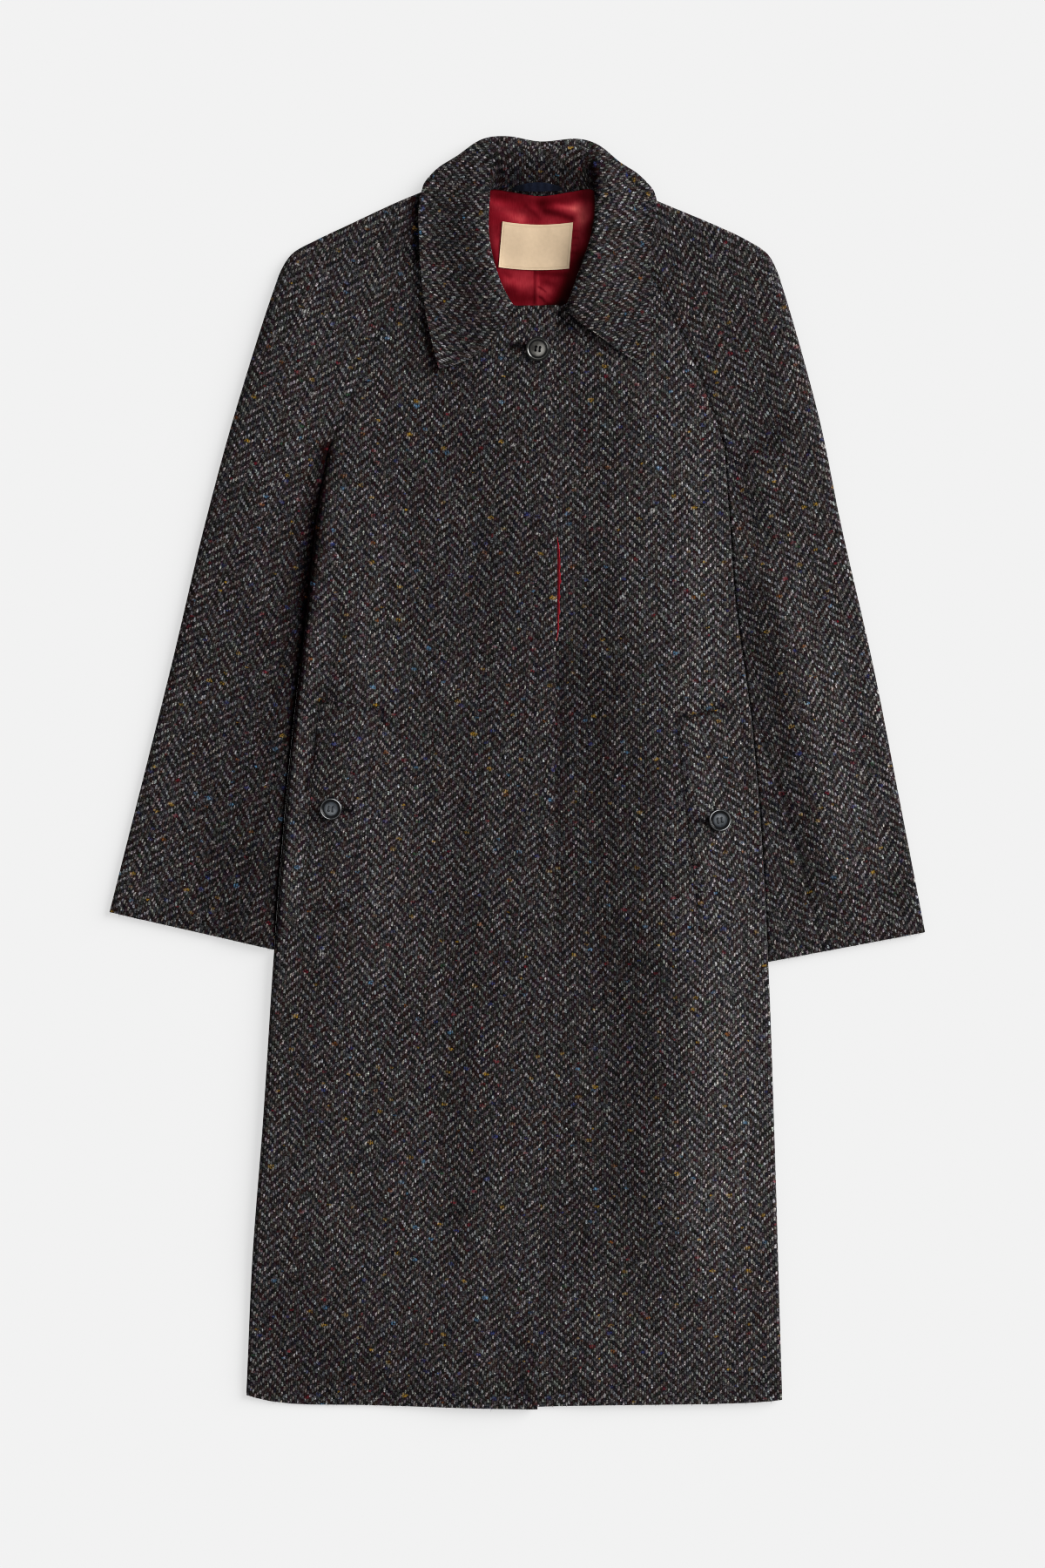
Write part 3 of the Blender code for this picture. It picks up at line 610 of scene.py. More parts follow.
# Pitches and sizes in metres; wander, slip and dash sizes in yarns; fibres as stretch, scale and detail
tweedLook = {
    "endPitch": 0.00218, "pickPitch": 0.00209, "stripeEnds": 6,
    "driftScale": 60.0, "drift": (0.5, 0.9), "shakeScale": 520.0, "shake": (0.45, 0.7),
    "yarnSlip": 0.4, "ownDraw": (1.37, 0.5), "tintDraw": (2.71, 0.3, 1.13),
    "dashWidth": 0.98, "widths": (0.8, 0.35), "dashLength": 1.22, "lengths": (0.75, 0.35),
    "dashSlip": 0.45, "lean": (0.06, 0.7), "dashEdge": (0.2, 1.3),
    "fibres": ((1.9, 1000.0, 3.0), (1.3, 560.0, 1.0), (5.0, 90.0, 2.0)), "fibreTones": (6.5, 4.4, 0.9),
    "depth": -5.13, "wale": 1.85, "line": 0.47, "float": 0.8, "vary": 1.42, "spark": 0.15, "sparkRare": 9.0,
    "ground": 1.4, "yarnTone": 0.12,
    "wool": (1.01, 0.98, 0.97), "tint": (0.18, 0.10, 0.18), "tintBase": (0.91, 0.95, 0.91),
    "stain": (0.0085, 0.0008, 0.0042), "stainBase": (0.0006, 0.0003, 0.0),
    "fleckCell": 0.0125, "fleckShare": 0.54, "fleckSize": 0.0023, "fleckSizes": (0.4, 0.75),
    "fleckStretch": (0.8, 1.25), "fleckBend": 0.0035, "fleckTones": (0.35, 0.65), "fleckDraw": 7.3,
    "fleckEdge": (0.5, 1.2), "fleckGround": 0.12, "fleckFibre": (0.75, 1.15),
    "relief": (0.6, 0.5, 0.3), "bump": (0.35, 0.0005),
}
fleckShades = (
    (0.0, colour(0.42, 0.24, 0.02)), (0.18, colour(0.17, 0.009, 0.018)),
    (0.42, colour(0.028, 0.04, 0.17)), (0.64, colour(0.10, 0.25, 0.42)),
    (0.72, colour(0.03, 0.085, 0.04)), (0.78, colour(0.24, 0.08, 0.014)),
    (0.85, colour(0.5, 0.49, 0.47)), (0.93, colour(0.05, 0.008, 0.012)),
)


# Herringbone: pale warp floats over a dark weft, in a twill that turns back at each stripe, with flecks
def makeTweed(name, look):
    made, w, shader = newMaterial(name, Roughness=0.95, Sheen_Weight=0.0, Specular_IOR_Level=0.03)
    flat = w.flat()
    drift = w.noise(flat, look["driftScale"], 1.0, 1).split()
    shake = w.noise(flat, look["shakeScale"], 1.0, 1).split()
    u, v, _ = flat.split()
    x = u / look["endPitch"] + (drift[0] - 0.5) * look["drift"][0] + (shake[0] - 0.5) * look["shake"][0]
    y = v / look["pickPitch"] + (drift[1] - 0.5) * look["drift"][1] + (shake[1] - 0.5) * look["shake"][1]
    end = x.floor()
    stripe = (end / look["stripeEnds"]).floor() % 2.0
    yarn = w.node("TexWhiteNoise", {"W": end}, noise_dimensions="1D")
    half = (y + end * (1.0 - stripe * 2.0) + stripe + (yarn - 0.5) * look["yarnSlip"]) / 2.0
    row = half.floor()
    over = 1.0 - row % 2.0
    chance = w.draw(w.join(end, row * look["ownDraw"][0] + stripe * look["ownDraw"][1]))
    tint = w.draw(w.join(row * look["tintDraw"][0] + look["tintDraw"][1], end * look["tintDraw"][2]), 1)
    tintRed, tintGreen, tintBlue = tint.split()
    lengthways = (half - row - 0.5) * 2.0 + (tintBlue - 0.5) * look["dashSlip"]
    sideways = (x - end - 0.5) * 2.0 - lengthways * (look["lean"][0] + (tintRed - 0.5) * look["lean"][1])
    sideways = sideways / look["dashWidth"] / (look["widths"][0] + tintBlue * look["widths"][1])
    lengthways = lengthways / look["dashLength"] / (look["lengths"][0] + tintGreen * look["lengths"][1])
    dash = 1.0 - (sideways * sideways + lengthways * lengthways).step(*look["dashEdge"])
    fuzz, grit, slub = (w.noise(w.join(u * stretch, v), *fine) for stretch, *fine in look["fibres"])
    # The tone's logarithm is a sum: wale, float, each float's own strength, loose fibre, and the painted
    # shade and light of each place
    lift = dash * look["float"] + over * look["wale"] * (dash * (1.0 - look["line"]) + look["line"])
    own = ((chance - 0.5) * look["vary"] + (chance ** look["sparkRare"]) * look["spark"]) * dash
    own = own + (tintGreen - 0.5) * (1.0 - dash) * look["ground"]
    fuzzTone, gritTone, slubTone = look["fibreTones"]
    loose = (fuzz - 0.5) * fuzzTone + (grit - 0.5) * gritTone + (slub - 0.5) * slubTone
    tone = lift + own + loose + (yarn - 0.5) * look["yarnTone"] + w.attribute("paintedShading") + look["depth"]
    # The dark ground keeps a little colour of its own under the pale floats
    stain = w.vector("MULTIPLY_ADD", w.vector("MULTIPLY", tint, tint), look["stain"], look["stainBase"])
    body = w.vector("MULTIPLY", w.vector("MULTIPLY_ADD", tint, look["tint"], look["tintBase"]), look["wool"])
    body = w.vector("ADD", body.scaled(tone.exp()), stain)
    # Flecks: some cells of a loose mosaic hold a short weft blob of coloured fibre
    bent = [
        part * stretch + (wander - 0.5) * look["fleckBend"]
        for part, stretch, wander in zip((u, v), look["fleckStretch"], shake)
    ]
    cell = {"Vector": w.join(*bent), "Scale": 1.0 / look["fleckCell"], "Randomness": 1.0}
    distance = w.node("TexVoronoi", cell, 0, voronoi_dimensions="2D")
    pickRed, pickGreen, pickBlue = w.node("TexVoronoi", cell, 1, voronoi_dimensions="2D").split()
    smallest, larger = look["fleckSizes"]
    size = look["fleckSize"] / look["fleckCell"] * (smallest + pickBlue * larger)
    faintest, stronger = look["fleckTones"]
    strength = faintest + (pickRed * look["fleckDraw"] % 1.0) ** 2.0 * stronger
    ground = look["fleckGround"]
    fibrous = (ground + dash * (1.0 - ground)) * (fuzz + grit).step(*look["fleckFibre"])
    inside = 1.0 - (distance / size).step(*look["fleckEdge"])
    fleck = inside * (pickRed < look["fleckShare"]) * strength * fibrous
    shade = w.node("ValToRGB", {0: pickGreen}, stops=fleckShades)
    w.blend(fleck, body, shade).feed(shader, "Base Color")
    height = dash * look["relief"][0] + fuzz * look["relief"][1] + slub * look["relief"][2]
    w.bump(height, *look["bump"]).feed(shader, "Normal")
    return made


# deep and lit are a painted shaded and a painted lit tone of one red; greenGain and blueGain make green and
# blue follow the painted shading faster than red, a painted sheen where it is lit
liningLook = {
    "deep": colour(0.17, 0.004, 0.010), "lit": colour(0.34, 0.022, 0.034), "shadeEdge": (0.3, 0.8),
    "cloudScale": 38.0, "cloudShare": 0.75, "streakScale": 160.0, "streakLength": 6.0, "threadPitch": 0.0004,
    "greenGain": 2.0, "blueGain": 1.5, "rough": (0.3, 0.2), "rib": 0.1, "bump": (0.25, 0.0003),
}


def makeSatin(name, look):
    made, w, shader = newMaterial(name, Roughness=0.42, Sheen_Weight=0.0, Specular_IOR_Level=0.03)
    flat = w.flat()
    u, v, _ = flat.split()
    cloud = w.noise(flat, look["cloudScale"], 3.0)
    streak = w.noise(w.join(u * look["streakLength"], v), look["streakScale"], 2.0)
    # Painted light and shade: the red mixed between its shaded and lit tones by clouds and streaks
    shade = (cloud * look["cloudShare"] + streak * (1.0 - look["cloudShare"])).step(*look["shadeEdge"])
    # then scaled by the painted shading, green and blue faster than red for a painted sheen
    paintedShading = w.attribute("paintedShading").exp()
    paintedSheenTint = w.join(paintedShading, paintedShading ** look["greenGain"], paintedShading ** look["blueGain"])
    w.vector("MULTIPLY", w.blend(shade, look["deep"], look["lit"]), paintedSheenTint).feed(shader, "Base Color")
    (streak * look["rough"][1] + look["rough"][0]).feed(shader, "Roughness")
    rib = (v * (math.tau / look["threadPitch"])).sine() * look["rib"] + streak
    w.bump(rib, *look["bump"]).feed(shader, "Normal")
    return made


labelLook = {
    "ground": colour(0.85, 0.64, 0.43), "shade": colour(0.76, 0.57, 0.37), "border": colour(0.40, 0.28, 0.14),
    "inset": 0.0022, "line": 0.0007, "lineEdge": (0.35, 0.75), "lineTone": 0.25, "weave": 9000.0,
    "clouds": (240.0, 0.7), "weaveTone": 0.12, "base": 0.2, "toneEdge": (0.2, 0.9), "bump": (0.3, 0.0002),
}


# Plain woven label with a line round it, laid out on the label's own map
def makeLabelCloth(name, look, width, height):
    made, w, shader = newMaterial(name, Roughness=0.62, Sheen_Weight=0.15, Specular_IOR_Level=0.3)
    flat = w.flat()
    u, v, _ = flat.split()
    edge = w.sum("MINIMUM", width / 2 - abs(u), height / 2 - abs(v))
    line = 1.0 - (abs(edge - look["inset"]) / look["line"]).step(*look["lineEdge"])
    weave = (u * look["weave"]).sine() * (v * look["weave"]).sine()
    cloud = w.noise(flat, look["clouds"][0], 2.0) * look["clouds"][1]
    tone = (cloud + weave * look["weaveTone"] + look["base"]).step(*look["toneEdge"])
    ground = w.blend(tone, look["shade"], look["ground"])
    w.blend(line * look["lineTone"], ground, look["border"]).feed(shader, "Base Color")
    w.bump(weave + line, *look["bump"]).feed(shader, "Normal")
    return made


tapeLook = {
    "dark": colour(0.005, 0.0065, 0.014), "light": colour(0.011, 0.016, 0.034), "ribPitch": 0.0009,
    "ribTone": 0.6, "fibres": (500.0, 0.5), "toneEdge": (0.2, 0.95), "bump": (0.4, 0.0003),
}


def makeTape(name, look):
    made, w, shader = newMaterial(name, Roughness=0.7, Sheen_Weight=0.0, Specular_IOR_Level=0.08)
    flat = w.flat()
    u, _, _ = flat.split()
    rib = (u * (math.tau / look["ribPitch"])).sine() * 0.5 + 0.5
    tone = rib * look["ribTone"] + w.noise(flat, look["fibres"][0], 2.0) * look["fibres"][1]
    body = w.blend(tone.step(*look["toneEdge"]), look["dark"], look["light"])
    # Scaled by the painted shading, a painted shadow at the loop's ends
    body.scaled(w.attribute("paintedShading").exp()).feed(shader, "Base Color")
    w.bump(rib, *look["bump"]).feed(shader, "Normal")
    return made


# line is the rim's line of painted highlight, partly the horn's own pale edge: its middle and half width, as
# shares of the radius. edge is its colour, arc where its arcs begin, pale the dish's lighter colour, glow the
# strength of the painted light on the dish
hornLook = {
    "neck": {
        "dark": colour(0.002, 0.002, 0.002), "rim": colour(0.006, 0.006, 0.005),
        "dish": colour(0.06, 0.058, 0.052), "pale": colour(0.42, 0.41, 0.38),
        "edge": colour(0.58, 0.58, 0.55), "line": (0.82, 0.05), "arc": 0.86, "glow": 0.9,
    },
    "pocket": {
        "dark": colour(0.002, 0.002, 0.003), "rim": colour(0.006, 0.007, 0.008),
        "dish": colour(0.035, 0.043, 0.053), "pale": colour(0.42, 0.44, 0.46),
        "edge": colour(0.78, 0.79, 0.80), "line": (0.915, 0.038), "arc": 0.62, "glow": 0.3,
    },
}
# What all the buttons share; the dish's end, the groove and the rim are shares of the radius
hornShape = {
    "dishEnd": (0.3, 0.68), "groove": (0.60, 0.66), "rimFrom": (0.76, 0.82), "lineEdge": (0.3, 1.0),
    "streak": (3.0, 0.7, 2.0), "streakScale": 120.0, "streakEdge": (0.3, 0.75), "streakTone": 0.6,
    "cloudScale": 260.0, "cloudTone": 0.5, "glowRise": 1.3, "glowBase": 0.1,
    "faintLine": 0.12, "arcEnd": 0.99, "rough": (0.14, 0.18), "bump": (0.08, 0.0002),
}


# Polished horn: dark rim and groove, a dish paler in random clouds and in painted light on one side, painted
# highlight arcs round the rim
# ring is the distance from the centre; glint and glow say how far a place faces the arcs and the light
def makeHorn(name, look, shape):
    made, w, shader = newMaterial(
        name, Roughness=0.22, Coat_Weight=0.15, Coat_Roughness=0.08, Specular_IOR_Level=0.25
    )
    at = w.where()
    x, y, z = at.split()
    ring = w.attribute("ring")
    wide, tall, deep = shape["streak"]
    streak = w.noise(w.join(x * wide + y, y * tall - x, z * deep), shape["streakScale"], 4.0)
    cloud = w.noise(at, shape["cloudScale"], 2.0)
    dish = w.blend(streak.step(*shape["streakEdge"]) * shape["streakTone"], look["dish"], look["dark"])
    # Painted light on the dish, lighter on the side that faces the glow angle
    glow = (w.attribute("glow") * ring * shape["glowRise"] + shape["glowBase"]) * look["glow"]
    light = (1.0 - ring.step(*shape["dishEnd"])) * (cloud * shape["cloudTone"] + glow)
    dish = w.blend(light, dish, look["pale"])
    tone = w.blend(ring.step(*shape["groove"]), dish, look["dark"])
    tone = w.blend(ring.step(*shape["rimFrom"]), tone, look["rim"])
    # Painted highlight: a faint pale line all round the rim, partly the horn's own pale edge, full in arcs
    # facing the glint angle
    centre, half = look["line"]
    line = 1.0 - (abs(ring - centre) / half).step(*shape["lineEdge"])
    faint = shape["faintLine"]
    arcs = faint + abs(w.attribute("glint")).step(look["arc"], shape["arcEnd"]) * (1.0 - faint)
    w.blend(line * arcs, tone, look["edge"]).feed(shader, "Base Color")
    (cloud * shape["rough"][1] + shape["rough"][0]).feed(shader, "Roughness")
    w.bump(streak, *shape["bump"]).feed(shader, "Normal")
    return made


threadLook = {
    "dark": colour(0.0022, 0.0022, 0.0026), "grey": colour(0.030, 0.033, 0.037), "lighter": 3.0,
    "twist": 9000.0, "twistTone": 0.6, "fibres": (900.0, 0.6), "toneEdge": (0.2, 1.0), "bump": (0.4, 0.0002),
}


def makeThread(name, look, base):
    made, w, shader = newMaterial(name, Roughness=0.9, Specular_IOR_Level=0.02)
    at = w.where()
    x, y, _ = at.split()
    twist = ((x + y) * look["twist"]).sine() * 0.5 + 0.5
    tone = twist * look["twistTone"] + w.noise(at, look["fibres"][0], 2.0) * look["fibres"][1]
    light = colour(*(look["lighter"] * part for part in base[:3]))
    w.blend(tone.step(*look["toneEdge"]), base, light).feed(shader, "Base Color")
    w.bump(twist, *look["bump"]).feed(shader, "Normal")
    return made


woolLook = {
    "dark": colour(0.012, 0.011, 0.011), "pale": colour(0.34, 0.32, 0.31),
    "change": 420.0, "share": (0.42, 0.68),
}


# Loose fibre, dark or pale from one to the next
def makeWool(name, look):
    made, w, shader = newMaterial(name, Roughness=0.9, Specular_IOR_Level=0.1)
    which = w.noise(w.where(), look["change"], 2.0).step(*look["share"])
    w.blend(which, look["dark"], look["pale"]).feed(shader, "Base Color")
    return made


tweed = makeTweed("tweed", tweedLook)
satin = makeSatin("lining", liningLook)
neckHorn = makeHorn("neckHorn", hornLook["neck"], hornShape)
pocketHorn = makeHorn("pocketHorn", hornLook["pocket"], hornShape)
darkThread = makeThread("darkThread", threadLook, threadLook["dark"])
greyThread = makeThread("greyThread", threadLook, threadLook["grey"])
print("materials made")


def selectOnly(made):
    bpy.ops.object.select_all(action="DESELECT")
    made.select_set(True)
    bpy.context.view_layer.objects.active = made


# A new object from corners in the drawing's millimetres
def addMesh(name, corners, faces, finish):
    mesh = bpy.data.meshes.new(name)
    mesh.from_pydata(((corners - middle) * mm).tolist(), [], faces)
    mesh.materials.append(finish)
    made = bpy.data.objects.new(name, mesh)
    bpy.context.scene.collection.objects.link(made)
    return made


# A number at each corner of a mesh, for its material to read
def addValues(mesh, name, values):
    layer = mesh.attributes.new(name, "FLOAT", "POINT")
    layer.data.foreach_set("value", np.asarray(values, np.float32).reshape(-1))


# How far the map runs on over each cut edge, by the edge's two corners
def edgeWays(flats, zone, down, across, reach):
    at = np.arange(down * across).reshape(down, across)
    zone = zone.reshape(down - 1, across - 1)
    borders = (
        (at[0], at[1], zone[0]), (at[-1], at[-2], zone[-1]),
        (at[:, 0], at[:, 1], zone[:, 0]), (at[:, -1], at[:, -2], zone[:, -1]),
    )
    ways = {}
    for edge, inner, part in borders:
        for a, b, c, d, number in zip(edge[:-1], edge[1:], inner[:-1], inner[1:], part):
            flat = flats[number]
            way = flat[a] + flat[b] - flat[c] - flat[d]
            ways[frozenset((int(a), int(b)))] = way * reach / max(float(np.linalg.norm(way)), 1e-9)
    return ways


shellLook = {"paintedShadingFrom": 2.0, "smoothAngle": 50.0}


# A closed shell through a grid of points. Each pair of columns from the fourth on is a flat cut in mm,
# and zones pick one of these for each face
def makeCloth(name, grid, thickness, finish, lean=0.0, paintedShading=None, zones=None):
    grid = np.asarray(grid)
    down, across = grid.shape[:2]
    count = down * across
    corner = (np.arange(down - 1)[:, None] * across + np.arange(across - 1)).reshape(-1)
    faces = np.column_stack([corner, corner + 1, corner + across + 1, corner + across])
    made = addMesh(name, grid[..., :3].reshape(-1, 3), faces.tolist(), finish)
    mesh = made.data
    layer = mesh.uv_layers.new(name="flat")
    corners = np.empty(len(mesh.loops), np.int32)
    mesh.loops.foreach_get("vertex_index", corners)
    zone = np.zeros(len(faces), int) if zones is None else zones.reshape(-1)
    firsts = range(3, 4 + 2 * zone.max(), 2)
    flats = [turned(grid[..., first : first + 2].reshape(-1, 2), lean) * mm for first in firsts]
    uv = np.stack(flats)[np.repeat(zone, 4), corners]
    layer.data.foreach_set("uv", uv.astype(np.float32).reshape(-1))
    # Painted shade and light from the stroke table, on the upper layer only
    if paintedShading:
        shows = smooth(grid[..., 2] - shellLook["paintedShadingFrom"])  # not on the underside
        addValues(mesh, "paintedShading", strokes(grid[..., :2], paintedShadingStrokes[paintedShading]) * shows)
    selectOnly(made)
    wall = made.modifiers.new("wall", "SOLIDIFY")
    wall.thickness = thickness * mm
    wall.offset = 0.0
    bpy.ops.object.modifier_apply(modifier="wall")
    ways = edgeWays(flats, zone, down, across, thickness * mm)
    layer = made.data.uv_layers["flat"].data
    for face in made.data.polygons[2 * len(faces) :]:
        way = ways[frozenset(corner % count for corner in face.vertices)]
        for number in face.loop_indices:
            if made.data.loops[number].vertex_index >= count:
                layer[number].uv = np.array(layer[number].uv) + way
    bpy.ops.object.shade_smooth_by_angle(angle=math.radians(shellLook["smoothAngle"]))
    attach(made, "root")
    return made


rowPoints = 200  # points in a row before they are spread along it
cutEdges = []  # rows of points at a cut edge, each with a row further in
edgeInset = -4  # the row further in, counted from the edge


# Stations of the rows, so many above the underarm and so many below
def rowStations(above, below):
    return np.concatenate([np.linspace(0, underarm, above)[:-1], np.linspace(underarm, hem, below)])


frontCut = {
    "lean": {"right": 4.5, "left": -0.5}, "rows": (52, 206), "columns": 84,
    "sideRadius": {"right": 3.6, "left": 2.0}, "seamDip": 1.1, "edgeDrop": 0.9, "neckFade": 75.0,
    "hemDrop": 3.0, "hemRun": 197.0, "hemFrom": 165.0,
    "underlapRise": 3.0, "underlapFrom": 6.0, "underlapOver": 14.0, "underlapFall": 0.6,
}


def frontRow(side, station):
    amount = tuck(side, station, "front")
    inner = place(frontEdge, station)
    if side == "left":
        inner = inner - np.array([plan["lapWidth"], 0.0])
        inner[1] = min(inner[1], neckline["left"]["y"][0] - frontCut["underlapFall"] * station)
    outer = raglanLine(side, station, "front")
    outer = setBack(outer, inner, seamSetBack(amount))
    t = fractions(rowPoints)[:, None]
    points = inner + (outer - inner) * t
    points = neckBent(points, t, neckline[side], 1.0 - float(smooth(station / frontCut["neckFade"])))
    ends = sorted([tuple(place(frontEdge, hem)), tuple(raglanLine(side, hem, "front"))])
    dip = np.interp(points[:, 0], hemLine["x"], hemLine["y"]) - np.interp(points[:, 0], *zip(*ends))
    if side == "left":
        shown = smooth((points[:, 0] - frontCut["underlapFrom"]) / frontCut["underlapOver"])
        dip = dip + frontCut["underlapRise"] * (1.0 - shown)
    points[:, 1] += dip * smooth((station - frontCut["hemFrom"]) / (hem - frontCut["hemFrom"]))
    level = foldLevel(points) + cloth["seam"] / 2
    drop = frontCut["hemDrop"] * smooth((station - frontCut["hemRun"]) / (hem - frontCut["hemRun"]))
    radii = (plan["foldRadius"], frontCut["sideRadius"][side])
    dips = (frontCut["edgeDrop"] if side == "right" else 0.0, frontCut["seamDip"])
    return withFlat(rolled(points, frontHeight(points, side) - drop, level, 0.0, amount, radii, dips))


bodyStations = rowStations(*frontCut["rows"])
for side in ("right", "left"):
    name = "front" + side.title()
    grid = np.array([spread(frontRow(side, station), frontCut["columns"]) for station in bodyStations])
    front = makeCloth(name, grid, cloth["tweed"], tweed, frontCut["lean"][side], name)
    cutEdges.append((grid[-1, :, :3], grid[edgeInset, :, :3]))
    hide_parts("front_" + side)
print("fronts made")

backCut = {"columns": 60, "lean": 0.0, "hemRise": 3.5, "hemFrom": 190.0, "neckFade": 60.0}


def backRow(station):
    amount = tuck("right", station, "back")
    ends = [raglanLine(side, station, "back") for side in ("right", "left")]
    rise = backCut["hemRise"] * float(smooth((station - backCut["hemFrom"]) / (hem - backCut["hemFrom"])))
    start, end = (point + np.array([0.0, rise]) for point in ends)
    start, end = setBack(start, end, seamSetBack(amount)), setBack(end, start, seamSetBack(amount))
    t = fractions(rowPoints)[:, None]
    points = start + (end - start) * t
    points = neckBent(points, t, backNeck, 1.0 - float(smooth(station / backCut["neckFade"])))
    level = foldLevel(points) - cloth["seam"] / 2
    return withFlat(rolled(points, floorHeight(points), level, amount, amount), 0.5)


grid = [spread(backRow(station), backCut["columns"]) for station in bodyStations[::2]]
back = makeCloth("backCloth", grid, cloth["tweed"], tweed, backCut["lean"])
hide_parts("back")
print("back made")

sleeveCut = {
    "lean": {"right": 16.5, "left": -16.0}, "rows": (60, 116), "columns": 54,
    "innerRadius": {"right": 3.6, "left": 1.4}, "overarmRadius": 6.0, "seamDip": 1.1,
    "seamGap": 0.3, "seamEase": 8.0, "inseamFrom": 150, "cuffDrop": 2.2, "cuffRun": 197.0,
}


def sleeveEnds(side, station, layer):
    outer = place(overarm[side], station)
    beyond = max(station - underarm, 0)
    onSide = min(station, underarm) + beyond * (cuffStation[side] - underarm) / (hem - underarm)
    inner = raglanLine(side, onSide, layer)
    amount = tuck(side, station, layer)
    return setBack(outer, inner, cloth["tweed"] / 2), setBack(inner, outer, seamSetBack(amount)), amount


# A row of the upper half and one of the lower; near the cuff the lower half comes round to a sewn inseam
def sleeveRows(side, station):
    t = fractions(rowPoints)[:, None]
    innerRadius = sleeveCut["innerRadius"][side]
    dip = sleeveCut["seamDip"]
    outer, inner, amount = sleeveEnds(side, station, "front")
    points = outer + (inner - outer) * t
    level = foldLevel(points) + cloth["seam"] / 2
    drop = sleeveCut["cuffDrop"] * smooth((station - sleeveCut["cuffRun"]) / (hem - sleeveCut["cuffRun"]))
    radii = (sleeveCut["overarmRadius"], innerRadius)
    upper = rolled(points, sleeveHeight(points, side) - drop, level, 1.0, amount, radii, (0.0, dip))
    outer, inner, amount = sleeveEnds(side, station, "back")
    points = inner + (outer - inner) * t
    level = foldLevel(points) - cloth["seam"] / 2
    lower = rolled(points, floorHeight(points), level, amount, 1.0, (innerRadius, plan["foldRadius"]))
    wrap = float(along(inseam[side], station, "offset")) if station > sleeveCut["inseamFrom"] else 0.0
    if wrap < cloth["seam"]:
        return withFlat(upper), withFlat(lower)
    run = lengths(upper)
    sewn = np.minimum(1.0, wrap / sleeveCut["seamEase"]) * dip
    away = np.abs(run[-1] - wrap - run)
    upper[:, 2] -= sewn * np.exp(-((away / plan["seamWidth"]) ** 2))
    tail = cut(upper, run[-1] - wrap, run[-1])
    upper = cut(upper, 0.0, run[-1] - wrap - sleeveCut["seamGap"])
    return withFlat(upper), np.concatenate([withFlat(tail), withFlat(lower)])


for side in ("right", "left"):
    paintedShading = "sleeve" + side.title()
    pairs = [sleeveRows(side, station) for station in rowStations(*sleeveCut["rows"])]
    for layer, number in (("front", 0), ("back", 1)):
        name = "sleeve" + layer.title() + side.title()
        grid = np.array([spread(pair[number], sleeveCut["columns"]) for pair in pairs])
        piece = makeCloth(name, grid, cloth["tweed"], tweed, sleeveCut["lean"][side], paintedShading)
        cutEdges.append((grid[-1, :, :3], grid[edgeInset, :, :3]))
        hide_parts(f"sleeve_{layer}_{side}")
print("sleeves made")

# Collar sections from the wearer's right front end, round the back, to the left
collarRows = table(
    "rollX rollY rollZ foldX foldY edgeX edgeY turn bow neckX neckY neckZ",
    (-3, 425, 18, -72, 369.5, -72, 369.5, 0, 12, -5.5, 424, 12),
    (-9, 434, 19.5, -79, 397, -79, 397, 0, 7, -11.5, 433.5, 12),
    (-16, 448, 21.2, -84.5, 424, -84.5, 424, 0, 3, -18.5, 447.5, 12),
    (-22.5, 468, 22.6, -88, 456, -88, 456, 0, 0, -25, 468, 11.2),
    (-26.8, 490, 23, -90, 486, -90, 486, 0, 0, -29.3, 490, 11),
    (-27.2, 508, 23, -90.5, 510, -90.5, 510, 0, 0, -29.5, 508, 11),
    (-26.3, 526, 22, -87.8, 533, -87.8, 533, 30, 0, -28.5, 524.5, 10.6),
    (-25.6, 544, 19, -74.4, 551, -75, 541.5, 180, 0, -27.5, 531.5, 9),
    (-24.8, 557, 15.8, -54.3, 564.3, -52, 531, 180, 0, -22, 534.6, 7),
    (-20, 567, 16, -32.3, 579, -30, 521, 180, 0, -14.5, 534.0, 6),
    (-7, 570.5, 15.6, -9, 581.8, -7, 515, 180, 0, -5, 532.4, 5.7),
    (21.5, 570, 15.4, 21.5, 577, 21.5, 512, 180, 0, 21.5, 528.8, 5.6),
    (51, 569.8, 15.6, 54, 579.6, 50, 515, 180, 0, 48, 532.4, 5.7),
    (65, 567, 16, 74, 574, 72, 521, 180, 0, 58.5, 534.2, 6),
    (70, 557, 15.8, 93.5, 558.5, 91, 531, 180, 0, 66.5, 534.6, 7),
    (71.3, 544, 19, 112, 546, 113, 536.5, 180, 0, 72.5, 531.5, 9),
    (72, 526, 22, 127, 527.5, 127, 527.5, 30, 0, 74.5, 524.5, 10.6),
    (71.6, 508, 23, 126, 508, 126, 508, 0, 0, 74, 508, 11),
    (67.8, 488, 23, 123, 484, 123, 484, 0, 0, 70.3, 488, 11),
    (60.6, 467, 22.6, 122.5, 455, 122.5, 455, 0, 0, 63.1, 467, 11),
    (53.4, 447, 20, 122.5, 424, 122.5, 424, 0, 0, 55.9, 447, 10.4),
    (48, 433, 17.2, 120, 396, 120, 396, 0, 0, 50.5, 432.5, 10),
    (44, 423, 14.6, 114.5, 372, 114.5, 372, 0, 1, 47, 422, 10),
)
collarRows["station"] = np.arange(len(collarRows["turn"]), dtype=float)
collarCut = {
    "rows": 231, "columns": 74, "bendWeight": 12.0, "liesBackFrom": 530.0, "liesBackOver": 40.0,
    "leftLower": 1.8, "leftFrom": 20.0, "leftOver": 40.0, "leastFall": 0.2, "fallEnd": 0.85,
    "underFrom": 120.0, "underOver": 60.0, "leafRows": 60,
    "rollPoints": 14, "fallPoints": 60, "turnPoints": 24, "underPoints": 16, "standPoints": 30,
}
rightAngle = math.radians(90.0)


